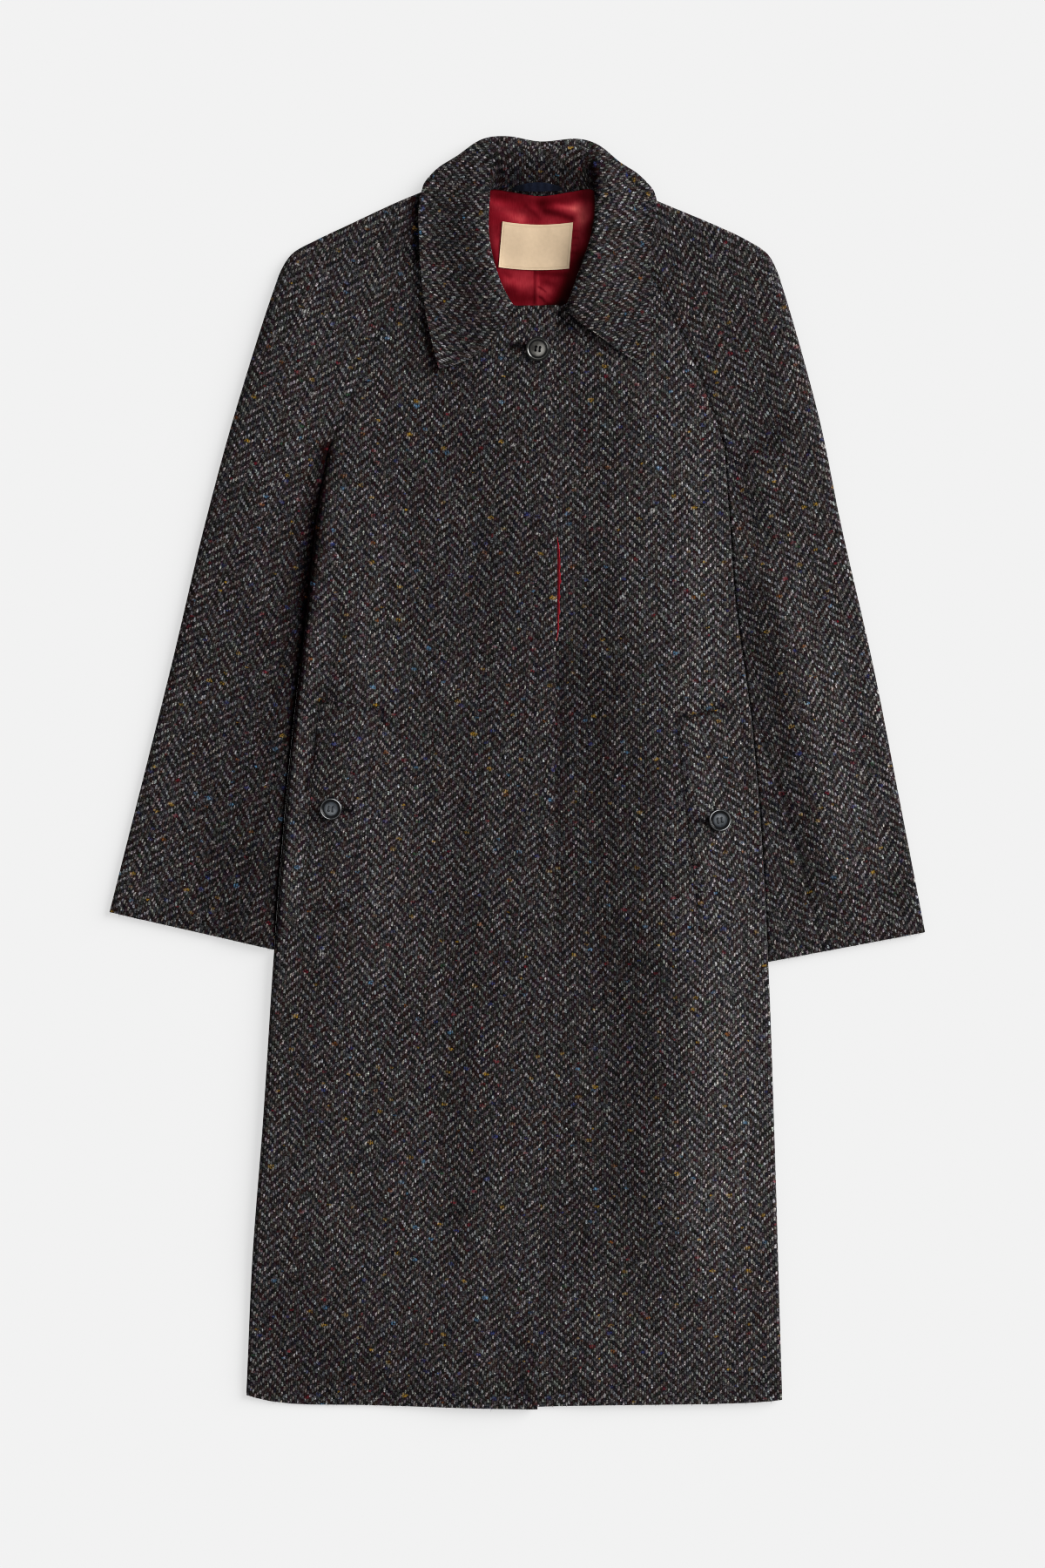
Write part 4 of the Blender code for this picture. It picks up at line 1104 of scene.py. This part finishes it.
def collarSection(index):
    section = {name: float(along(collarRows, index, name)) for name in collarRows}
    for name in ("turn", "bow"):
        section[name] = float(np.interp(index, collarRows["station"], collarRows[name]))
    return section


def sectionPoint(section, name, axes="XY"):
    return np.array([section[name + axis] for axis in axes])


# Where the roll begins, the stand's heading there, the way to the fold, and how far the roll lies back
def rollStart(section):
    roll = sectionPoint(section, "roll")
    fold = sectionPoint(section, "fold")
    way = (fold - roll) / np.linalg.norm(fold - roll)
    lie = rightAngle * float(smooth((roll[1] - collarCut["liesBackFrom"]) / collarCut["liesBackOver"]))
    level = section["rollZ"] - plan["rollRadius"] * (1.0 - math.sin(lie))
    heading = np.array([way[0] * math.sin(lie), way[1] * math.sin(lie), math.cos(lie)])
    return np.array([roll[0], roll[1], level]), heading, way, lie


# From the roll down to the leaf's edge, and at the back on round the fold and underneath
def fallPath(section):
    start, _, way, lie = rollStart(section)
    radius = plan["rollRadius"]
    angles = np.linspace(lie, rightAngle, collarCut["rollPoints"])
    reach = radius * (math.cos(lie) - np.cos(angles))
    level = section["rollZ"] - radius * (1.0 - np.sin(angles))
    roll = np.column_stack([start[0] + way[0] * reach, start[1] + way[1] * reach, level])
    fold = sectionPoint(section, "fold")
    edge = sectionPoint(section, "edge")
    onLeft = float(smooth((section["rollX"] - collarCut["leftFrom"]) / collarCut["leftOver"]))
    low = min(levels["leaf"] - collarCut["leftLower"] * onLeft, section["rollZ"] - collarCut["leastFall"])
    half = (low - levels["collarFloor"]) / 2
    turn = math.radians(section["turn"])
    bend = min(half, 0.5 * np.linalg.norm(fold - roll[-1][:2])) * math.sin(min(turn, rightAngle))
    topEnd = fold - way * bend
    t = np.linspace(0.0, 1.0, collarCut["fallPoints"])
    ease = 0.5 + 0.5 * np.cos(math.pi * np.minimum(t / collarCut["fallEnd"], 1.0))
    side = np.array([-way[1], way[0]])
    side = side if side[1] < 0 else -side
    bowed = section["bow"] * 4 * t * (1 - t)
    fall = roll[-1][:2] + (topEnd - roll[-1][:2]) * t[:, None] + side * bowed[:, None]
    path = [roll, np.column_stack([fall, low + (section["rollZ"] - low) * ease])[1:]]
    if turn > 0.0:
        sweep = np.linspace(0.0, turn, collarCut["turnPoints"])
        run = edge - fold
        backWay = run / np.linalg.norm(run) if np.linalg.norm(run) > 1e-6 else -way
        base = topEnd + ((fold + backWay * bend) - topEnd) * (sweep / math.pi)[:, None]
        arc = base + (fold - base) * np.sin(np.minimum(sweep, math.pi))[:, None]
        path.append(np.column_stack([arc, low - half * (1.0 - np.cos(sweep))])[1:])
    under = float(smooth((section["turn"] - collarCut["underFrom"]) / collarCut["underOver"]))
    if under > 0.0:
        last = path[-1][-1]
        shares = np.linspace(0.0, 1.0, collarCut["underPoints"])[1:, None]
        reachUnder = last[:2] + (edge - last[:2]) * under * shares
        path.append(np.column_stack([reachUnder, np.full(len(shares), last[2])]))
    return np.concatenate(path)


def standPath(section):
    start, heading, _, _ = rollStart(section)
    neck = sectionPoint(section, "neck", "XYZ")
    guide = start - heading * (0.5 * np.linalg.norm(start - neck))
    t = np.linspace(0.0, 1.0, collarCut["standPoints"])[:, None]
    return (1 - t) ** 2 * neck + 2 * t * (1 - t) * guide + t**2 * start


# The grain lies one way on each leaf and upright at the back; the stand is a strip of its own
collarGrain = {"headings": (176.0, 90.0, 12.0), "fallChange": (9.2, 12.8)}


def onGrain(points, degrees):
    angle = math.radians(degrees)
    weft = np.array([math.sin(angle), -math.cos(angle)])
    warp = np.array([math.cos(angle), math.sin(angle)])
    return np.stack([points @ weft, points @ warp], axis=-1)


collarStations = np.linspace(0, len(collarRows["turn"]) - 1, collarCut["rows"])
sections = [collarSection(station) for station in collarStations]
halfUp = collarCut["standPoints"] // 2
roundNeck = lengths(np.array([standPath(section)[halfUp] for section in sections]))
grid = []
for section, around in zip(sections, roundNeck):
    start, _, way, _ = rollStart(section)
    stand = standPath(section)
    fall = fallPath(section)
    run = np.concatenate([lengths(stand) - lengths(stand)[-1], lengths(fall)[1:]])
    opened = start[:2] + run[:, None] * way
    flats = [onGrain(opened, heading) for heading in collarGrain["headings"]]
    flats.append(np.column_stack([np.full(len(run), around), run]))
    path = np.column_stack([np.concatenate([stand, fall[1:]]), *flats, run])
    grid.append(spread(path, collarCut["columns"], collarCut["bendWeight"]))
grid = np.array(grid)
between = (collarStations[:-1] + collarStations[1:])[:, None] / 2
onFall = (grid[:-1, :-1, -1] + grid[1:, 1:, -1]) > 0.0
onLeaf = np.searchsorted(collarGrain["fallChange"], between)
zones = np.where(onFall, onLeaf, len(collarGrain["headings"]))
collar = makeCloth("collarCloth", grid, cloth["collar"], tweed, 0.0, "collar", zones)
for leaf in (grid[: collarCut["leafRows"]], grid[-collarCut["leafRows"] :]):
    cutEdges.append((leaf[:, -1, :3], leaf[:, edgeInset, :3]))
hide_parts("collar", "collar_stand")
print("collar made")

# Corners: top and bottom of the edge nearer the middle, then of the outer edge
welts = {
    "right": {"corners": ((-124.8, 57.0), (-156.8, -127.0), (-181.0, 66.5), (-199.0, -127.0)), "lean": 9.9},
    "left": {"corners": ((145.6, 49.0), (168.0, -147.0), (204.0, 61.5), (213.5, -131.0)), "lean": -11.0},
}
weltCut = {"rows": 110, "columns": 40, "lift": 0.1, "edgeDrop": 1.1, "edgeWidth": 4.0}


def patchPoints(corners, down, across):
    a, b, c, d = (np.array(corner) for corner in corners)
    t = np.linspace(0.0, 1.0, down)[:, None, None]
    s = fractions(across)[None, :, None]
    start = a + (b - a) * t
    return start + ((c + (d - c) * t) - start) * s


def weltHeight(points, side):
    return frontHeight(points, side) + cloth["tweed"] / 2 + weltCut["lift"] + cloth["welt"] / 2


for side, welt in welts.items():
    front = "front" + side.title()
    points = patchPoints(welt["corners"], weltCut["rows"], weltCut["columns"])
    borders = (points[:, :1], points[:, -1:], points[-1:])
    inward = np.min([np.linalg.norm(points - border, axis=-1) for border in borders], axis=0)
    height = weltHeight(points, side) - weltCut["edgeDrop"] * np.exp(-((inward / weltCut["edgeWidth"]) ** 2))
    grid = np.concatenate([points, height[..., None], points], axis=-1)
    piece = makeCloth("pocketWelt" + side.title(), grid, cloth["welt"], tweed, welt["lean"], front)
    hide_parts("pocket_welt_" + side)
print("welts made")

liningCut = {
    "left": -60.0, "right": 104.0, "bottom": 398.0, "top": 536.4, "rows": 150, "columns": 170,
    "sag": (1.6, 6.8), "sagAt": 21.5, "sagWidth": 22.0, "sagFrom": 500.0, "sagOver": 33.0,
    "bareFrom": (418.0, 522.0), "bareOver": (12.0, 10.0), "puff": 0.35, "puffSize": 26.0, "puffSeed": 7,
}
wrinkles = strokeTable(
    (-30, 522, 20, 515, 66, 521, 5, 1.9),
    (8, 517, 15, 510, 19, 505, 4, 0.5),
    (26, 518, 40, 514, 54, 511, 5, 1.2),
    (18.5, 459, 18.5, 445, 18, 427, 1.4, 0.35),
    (-14, 450, 0, 445, 13, 447, 6, 1.5),
    (24, 441, 34, 444, 42, 440, 5, 1.5),
    (21, 438, 25, 435, 29, 431, 2.5, 0.5),
    (-22, 500, -20, 480, -18, 460, 4, 0.8),
)


def liningHeight(points):
    base = floorHeight(points) + cloth["tweed"] / 2 + cloth["seam"] + cloth["lining"] / 2
    low, high = (
        smooth((points[..., 1] - start) / over)
        for start, over in zip(liningCut["bareFrom"], liningCut["bareOver"])
    )
    puff = liningCut["puff"] * (1.0 + uneven(points, liningCut["puffSize"], liningCut["puffSeed"]))
    return base + low * (1.0 - high) * (np.maximum(strokes(points, wrinkles), 0.0) + puff)


xs = np.linspace(liningCut["left"], liningCut["right"], liningCut["columns"])
ys = np.linspace(liningCut["top"], liningCut["bottom"], liningCut["rows"])
points = np.stack(np.meshgrid(xs, ys), axis=-1)
aside = (points[..., 0] - liningCut["sagAt"]) / liningCut["sagWidth"]
sag = liningCut["sag"][0] + liningCut["sag"][1] * np.exp(-(aside**2))
points[..., 1] -= sag * smooth((points[..., 1] - liningCut["sagFrom"]) / liningCut["sagOver"])
grid = np.concatenate([points, liningHeight(points)[..., None], points], axis=-1)
lining = makeCloth("neckLining", grid, cloth["lining"], satin, 0.0, "lining")
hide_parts("neck_lining")

flyCut = {
    "top": 217.0, "bottom": 119.0, "depth": 14.0, "peep": 3.0, "taper": 0.6, "rows": 140, "columns": 24,
    "ragged": 0.3, "raggedSize": 5.0, "raggedSeed": 17, "rollOut": 1.3, "rollWidth": 2.5,
}
t = np.linspace(0.0, 1.0, flyCut["rows"])
y = flyCut["top"] + (flyCut["bottom"] - flyCut["top"]) * t
spine = np.column_stack([np.zeros_like(y), y])
edge = frontEdgeX(spine)
ragged = 1.0 + flyCut["ragged"] * uneven(spine, flyCut["raggedSize"], flyCut["raggedSeed"])
out = edge + flyCut["peep"] * np.sin(math.pi * t) ** flyCut["taper"] * ragged
middleLevel = (levels["top"] - levels["under"] + levels["top"] + levels["lap"]) / 2
grid = []
for s in np.linspace(0.0, 1.0, flyCut["columns"]):
    x = out - flyCut["depth"] * (1.0 - s)
    z = middleLevel + flyCut["rollOut"] * smooth((x - edge) / flyCut["rollWidth"])
    grid.append(np.column_stack([x, y, z, x, y]))
fly = makeCloth("flyLining", grid, cloth["lining"], satin, 0.0, "fly")
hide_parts("fly_lining")
print("linings made")

# Corners: left and right of the top edge, then of the bottom edge
labelCut = {
    "corners": ((-13.6, 504.8), (51.2, 504.0), (-17.2, 463.0), (47.6, 461.8)), "sag": (2.6, 2.0),
    "width": 0.0648, "height": 0.0425, "down": 40, "across": 30, "clear": 0.22,
}
labelCloth = makeLabelCloth("label", labelLook, labelCut["width"], labelCut["height"])
points = patchPoints(labelCut["corners"], labelCut["down"], labelCut["across"])
t, s = np.meshgrid(np.linspace(0.0, 1.0, labelCut["down"]), fractions(labelCut["across"]), indexing="ij")
flat = np.stack([(t - 0.5) * labelCut["width"] / mm, (0.5 - s) * labelCut["height"] / mm], axis=-1)
points[..., 1] -= 4 * t * (1 - t) * (labelCut["sag"][0] + (labelCut["sag"][1] - labelCut["sag"][0]) * s)
height = liningHeight(points) + (cloth["lining"] + cloth["label"]) / 2 + labelCut["clear"]
grid = np.concatenate([points, height[..., None], flat], axis=-1)
label = makeCloth("neckLabel", grid, cloth["label"], labelCloth)
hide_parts("neck_label")

loopCut = {
    "ends": (-4.5, 41.5), "low": (533.4, 532.2), "high": (535.0, 539.9), "bulge": 0.8, "arch": 0.75,
    "station": 11.0, "mapWidth": 10.0, "down": 12, "across": 60,
}
centreStand = standPath(collarSection(loopCut["station"]))
t = np.linspace(0.0, 1.0, loopCut["across"])
arch = np.sin(math.pi * t) ** loopCut["arch"]
low, high = (atEnd + (atTop - atEnd) * arch for atEnd, atTop in (loopCut["low"], loopCut["high"]))
x = loopCut["ends"][0] + (loopCut["ends"][1] - loopCut["ends"][0]) * t
clear = cloth["collar"] / 2 + cloth["seam"] + cloth["tape"] / 2 + loopCut["bulge"] * arch
grid = []
for s in np.linspace(0.0, 1.0, loopCut["down"]):
    y = low + (high - low) * s
    z = np.interp(y, centreStand[:, 1], centreStand[:, 2]) + clear
    grid.append(np.column_stack([x, y, z, x, np.full(len(x), s * loopCut["mapWidth"])]))
loop = makeCloth("hangerLoop", grid, cloth["tape"], makeTape("tape", tapeLook), 0.0, "loop")
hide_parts("hanger_loop")
print("label and loop made")


def editFaces(test):
    mesh = bmesh.from_edit_mesh(bpy.context.object.data)
    for face in mesh.faces:
        face.select_set(test(face))
    mesh.select_flush_mode()
    bmesh.update_edit_mesh(bpy.context.object.data)


def addCylinder(sides, radius, depth, **placed):
    bpy.ops.object.select_all(action="DESELECT")
    bpy.ops.mesh.primitive_cylinder_add(vertices=sides, radius=radius, depth=depth, **placed)
    return bpy.context.object


# Steps of the face from the edge inwards: width as a share of the radius, rise as a share of the height
buttonShape = {
    "height": 3.0, "sides": 64, "hole": 1.15, "holeApart": 1.85, "holeSides": 14,
    "soften": 0.18, "flatFace": 0.9, "smoothAngle": 35,
    "steps": (
        (0.03, 0.07), (0.09, 0.05), (0.05, -0.05), (0.06, -0.26),
        (0.03, -0.05), (0.06, 0.09), (0.10, 0.05), (0.14, 0.03),
    ),
    "underStep": (0.2, -0.02), "thread": 0.72, "threadSides": 12, "threadLength": 2.7, "threadRound": 0.3,
    "threadAngle": 60, "threadRise": 1.02, "rests": 0.4, "clear": 0.2,
}
# Angles in degrees: turn of the holes, and where the rim's painted highlight arcs and the dish's painted
# light face
buttons = {
    "Neck": {
        "node": "button_neck", "at": (18.9, 387.5), "across": 22.4, "turn": -8,
        "horn": neckHorn, "glint": 24, "glow": -40,
        "thread": darkThread, "hole": ((-4.0, 391.0), (14.0, 389.6)),
    },
    "PocketRight": {
        "node": "button_pocket_right", "at": (-170.7, -34.1), "across": 20.0, "turn": -7,
        "horn": pocketHorn, "glint": 42, "glow": -100,
        "thread": greyThread, "hole": ((-151.5, -35.6), (-168.0, -34.0)),
    },
    "PocketLeft": {
        "node": "button_pocket_left", "at": (185.8, -44.4), "across": 20.2, "turn": 10,
        "horn": pocketHorn, "glint": -45, "glow": 110,
        "thread": greyThread, "hole": ((164.0, -45.4), (182.0, -44.2)),
    },
}


# Height in mm of the uppermost cloth at a place
def clothTop(points, name):
    if name == "Neck":
        return frontHeight(points, "right") + cloth["tweed"] / 2
    return weltHeight(points, name.replace("Pocket", "").lower()) + cloth["welt"] / 2


# A turned disc: rim and dish from insets of the top face, four holes cut through it
def makeButton(name, spot, button):
    radius = button["across"] / 2 * mm
    tall = buttonShape["height"] * mm
    made = addCylinder(buttonShape["sides"], radius, tall, location=(0, 0, tall / 2))
    made.name = name
    bpy.ops.object.transform_apply(location=True)
    bpy.ops.object.mode_set(mode="EDIT")
    bpy.ops.mesh.select_mode(type="FACE")
    steps = [(1, *step) for step in buttonShape["steps"]] + [(-1, *buttonShape["underStep"])]
    for facing, inset, lift in steps:
        editFaces(lambda face: face.normal.z * facing > buttonShape["flatFace"] and len(face.verts) > 8)
        bpy.ops.mesh.inset(thickness=inset * radius, depth=0.0)
        bpy.ops.transform.translate(value=(0, 0, lift * tall))
    bpy.ops.object.mode_set(mode="OBJECT")
    soften = made.modifiers.new("soften", "BEVEL")
    soften.width = buttonShape["soften"] * mm
    soften.segments = 2
    soften.limit_method = "ANGLE"
    bpy.ops.object.modifier_apply(modifier="soften")
    reach = buttonShape["holeApart"] * mm * math.sqrt(2)
    for quarter in range(4):
        angle = math.radians(button["turn"] + 45 + 90 * quarter)
        drill = addCylinder(
            buttonShape["holeSides"], buttonShape["hole"] * mm, 4 * tall,
            location=(reach * math.cos(angle), reach * math.sin(angle), 0),
        )
        bpy.context.view_layer.objects.active = made
        hole = made.modifiers.new("hole", "BOOLEAN")
        hole.object = drill
        hole.operation = "DIFFERENCE"
        hole.solver = "EXACT"
        bpy.ops.object.modifier_apply(modifier="hole")
        bpy.data.objects.remove(drill)
    selectOnly(made)
    corners = [(corner.co.x, corner.co.y) for corner in made.data.vertices]
    addValues(made.data, "ring", [math.hypot(x, y) / radius for x, y in corners])
    # How far each corner faces the painted highlight arcs and the painted light on the dish
    for side in ("glint", "glow"):
        turn = math.radians(button[side])
        across, up = math.cos(turn), math.sin(turn)
        facing = [(x * across + y * up) / max(math.hypot(x, y), 1e-6) for x, y in corners]
        addValues(made.data, side, facing)
    made.location = spot
    bpy.ops.object.transform_apply(location=True)
    bpy.ops.object.shade_smooth_by_angle(angle=math.radians(buttonShape["smoothAngle"]))
    made.data.materials.append(button["horn"])
    return made


# Thread through the four holes: two bars side by side
def makeBars(name, spot, finish, turn):
    bars = []
    apart = buttonShape["holeApart"] * mm
    for x in (-apart, apart):
        bar = addCylinder(
            buttonShape["threadSides"], buttonShape["thread"] * mm, buttonShape["threadLength"] * apart,
            location=(x * math.cos(turn), x * math.sin(turn), 0), rotation=(math.pi / 2, 0, turn),
        )
        bpy.ops.object.transform_apply(location=True, rotation=True)
        bpy.ops.object.mode_set(mode="EDIT")
        bpy.ops.mesh.select_all(action="SELECT")
        bpy.ops.mesh.bevel(offset=buttonShape["threadRound"] * mm, segments=2)
        bpy.ops.object.mode_set(mode="OBJECT")
        bars.append(bar)
    selectOnly(bars[0])
    bars[1].select_set(True)
    bpy.ops.object.join()
    made = bpy.context.object
    made.name = name
    made.location = spot
    bpy.ops.object.transform_apply(location=True)
    bpy.ops.object.shade_smooth_by_angle(angle=math.radians(buttonShape["threadAngle"]))
    made.data.materials.append(finish)
    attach(made, "root")


# A tube through points, with its own radius at each and closed ends
def tubeMesh(path, radii, sides=8):
    path = np.asarray(path, float)
    ahead = np.gradient(path, axis=0)
    ahead /= np.linalg.norm(ahead, axis=1)[:, None]
    across = np.cross(ahead, (0.0, 0.0, 1.0))
    across /= np.linalg.norm(across, axis=1)[:, None]
    up = np.cross(across, ahead)
    angles = np.arange(sides) * math.tau / sides
    circle = np.cos(angles)[None, :, None] * across[:, None] + np.sin(angles)[None, :, None] * up[:, None]
    corners = (path[:, None] + circle * np.asarray(radii)[:, None, None]).reshape(-1, 3)
    count = len(path)
    faces = []
    for ringNumber in range(count - 1):
        for side in range(sides):
            a, b = ringNumber * sides + side, ringNumber * sides + (side + 1) % sides
            faces.append((a, b, b + sides, a + sides))
    faces.append(tuple(range(sides))[::-1])
    faces.append(tuple(range((count - 1) * sides, count * sides)))
    return corners, faces


holeStitch = {
    "lips": 0.75, "meet": 0.25, "round": 1.4, "cord": 0.62, "rib": 0.2, "stitch": 0.8,
    "slitShade": 0.32, "sink": 0.2, "slitShadeSink": 0.15, "points": 150,
}


# A worked buttonhole: two ribbed lips of thread, with a dark tube between them as painted shade in the slit
def makeButtonhole(name, ends, top):
    start, end = (np.array(spot) for spot in ends)
    span = np.linalg.norm(end - start)
    run = (end - start) / span
    side = np.array([-run[1], run[0]])
    at = np.linspace(0.0, span, holeStitch["points"])
    fromEnd = np.minimum(np.minimum(at, span - at) / holeStitch["round"], 1.0)
    opened = holeStitch["meet"] + (1.0 - holeStitch["meet"]) * np.sqrt(1.0 - (1.0 - fromEnd) ** 2)
    rib = holeStitch["rib"]
    ribbed = 1.0 - rib + rib * np.abs(np.sin(at * math.pi / holeStitch["stitch"]))
    corners, faces = [], []
    total = 0
    # The middle tube, at lip 0, is dark thread standing in for the shade in the slit
    for lip in (-1.0, 0.0, 1.0):
        line = start + at[:, None] * run + (side * lip * holeStitch["lips"]) * opened[:, None]
        radii = holeStitch["cord"] * ribbed if lip else np.full(len(at), holeStitch["slitShade"])
        height = top(line) - holeStitch["sink"] - (0.0 if lip else holeStitch["slitShadeSink"])
        tube, quads = tubeMesh(np.column_stack([line, height]), radii)
        faces += [tuple(corner + total for corner in quad) for quad in quads]
        corners.append(tube)
        total += len(tube)
    made = addMesh(name, np.concatenate(corners), faces, darkThread)
    for face in made.data.polygons:
        face.use_smooth = True
    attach(made, "root")


for name, button in buttons.items():
    low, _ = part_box(button["node"])
    x, y = (np.array(button["at"]) - middle[:2]) * mm
    around = np.array([[0, 0], [1, 0], [-1, 0], [0, 1], [0, -1]]) * button["across"] * buttonShape["rests"]
    top = float(clothTop(np.array(button["at"]) + around, name).max())
    level = max(low[2], top * mm + buttonShape["clear"] * mm)
    piece = makeButton("button" + name, (x, y, level), button)
    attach(piece, "root")
    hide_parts(button["node"])
    threadLevel = level + buttonShape["threadRise"] * buttonShape["height"] * mm
    makeBars("thread" + name, (x, y, threadLevel), button["thread"], math.radians(button["turn"]))
    makeButtonhole("buttonhole" + name, button["hole"], lambda points: clothTop(points, name))
print("buttons made")

fibreLook = {
    "perMm": 1.1, "shortest": 0.5, "longest": 2.0, "thick": 0.11, "taper": (1.0, 0.8), "seed": 11,
    "lean": 0.9, "flatter": (1.0, 1.0, 0.5), "curl": 0.35, "halfCurl": 0.4, "halfWay": 0.55,
    "rooted": 0.3, "scatter": 0.9, "lowRoot": 0.3, "lowTip": 0.15,
}


def unit(vectors, least=0.0):
    return vectors / (np.linalg.norm(vectors, axis=1)[:, None] + least)


# Loose fibres along the cut edges, joined into one mesh: each a three-sided spike with a bend
def makeFibres(name, edges, look, finish):
    source = np.random.default_rng(look["seed"])
    corners, faces = [], []
    total = 0
    for outer, inner in edges:
        run = lengths(outer)
        count = int(run[-1] * look["perMm"])
        at = np.sort(source.uniform(0.0, run[-1], count))
        base, behind = (sampled(row, run, at) for row in (outer, inner))
        away = unit(base - behind)
        way = unit(away + source.normal(0.0, look["lean"], (count, 3)) * look["flatter"])
        bend = source.normal(0.0, look["curl"], (count, 3))
        long = source.uniform(look["shortest"], look["longest"], count)[:, None]
        base = base - away * look["rooted"]
        scatter = source.uniform(-look["scatter"], look["scatter"], count)
        base[:, 2] = np.maximum(base[:, 2] + scatter, look["lowRoot"])
        halfWay = base + (way + bend * look["halfCurl"]) * long * look["halfWay"]
        spine = np.stack([base, halfWay, base + (way + bend) * long], axis=1)
        spine[:, :, 2] = np.maximum(spine[:, :, 2], look["lowTip"])
        side = unit(np.cross(way, (0.0, 0.0, 1.0)), 1e-9)
        up = np.cross(side, way)
        for part, thick in enumerate(look["taper"]):
            for angle in (0.0, math.tau / 3, 2 * math.tau / 3):
                around = side * math.cos(angle) + up * math.sin(angle)
                corners.append(spine[:, part] + around * look["thick"] * thick)
        corners.append(spine[:, 2])
        for first in range(count):
            ids = [total + number * count + first for number in range(7)]
            for turn in range(3):
                after = (turn + 1) % 3
                faces.append((ids[turn], ids[after], ids[3 + after], ids[3 + turn]))
                faces.append((ids[3 + turn], ids[3 + after], ids[6]))
            faces.append((ids[2], ids[1], ids[0]))
        total += 7 * count
    made = addMesh(name, np.concatenate(corners), faces, finish)
    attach(made, "root")


makeFibres("edgeFibres", cutEdges, fibreLook, makeWool("looseWool", woolLook))
print("fibres made")

# Floor, light and camera
floorLook = {"size": 30.0, "below": 0.0002, "glow": 0.6, "paper": (0.283, 0.289), "grain": 900.0}
bpy.ops.mesh.primitive_plane_add(size=floorLook["size"], location=(0, 0, -floorLook["below"]))
floor = bpy.context.object
floor.name = "floor"
bpy.ops.object.transform_apply(location=True)
paper, w, shader = newMaterial(
    "paper", Roughness=0.95, Specular_IOR_Level=0.0,
    Emission_Color=colour(1, 1, 1), Emission_Strength=floorLook["glow"],
)
grain = w.noise(w.where(), floorLook["grain"], 2.0)
w.blend(grain, *(colour(shade, shade, shade) for shade in floorLook["paper"])).feed(shader, "Base Color")
floor.data.materials.append(paper)

lightLook = {"sun": 4.6, "angle": 44.0, "elevation": 27.0, "azimuth": 63.0, "sky": 0.34}
sun = bpy.data.objects.new("key", bpy.data.lights.new("key", "SUN"))
sun.data.energy = lightLook["sun"]
sun.data.angle = math.radians(lightLook["angle"])
tilt, heading = 90.0 - lightLook["elevation"], 180.0 - lightLook["azimuth"]
sun.rotation_euler = (math.radians(tilt), 0.0, math.radians(heading))
bpy.context.scene.collection.objects.link(sun)
world = bpy.data.worlds.new("studio")
world.use_nodes = True
world.node_tree.nodes["Background"].inputs["Color"].default_value = colour(1, 1, 1)
world.node_tree.nodes["Background"].inputs["Strength"].default_value = lightLook["sky"]
bpy.context.scene.world = world
bpy.context.scene.view_settings.view_transform = "Standard"
bpy.context.scene.cycles.filter_width = 1.0

cameraLook = {"x": 4.8, "y": -11.2, "tall": 1.44, "away": 6.0, "sensor": 36.0}
camera = bpy.data.objects.new("camera", bpy.data.cameras.new("camera"))
camera.data.sensor_fit = "VERTICAL"
camera.data.sensor_height = cameraLook["sensor"]
camera.data.lens = cameraLook["sensor"] * cameraLook["away"] / cameraLook["tall"]
x, y = (np.array([cameraLook["x"], cameraLook["y"]]) - middle[:2]) * mm
camera.location = (x, y, cameraLook["away"])
bpy.context.scene.collection.objects.link(camera)
bpy.context.scene.camera = camera
print("stage made")
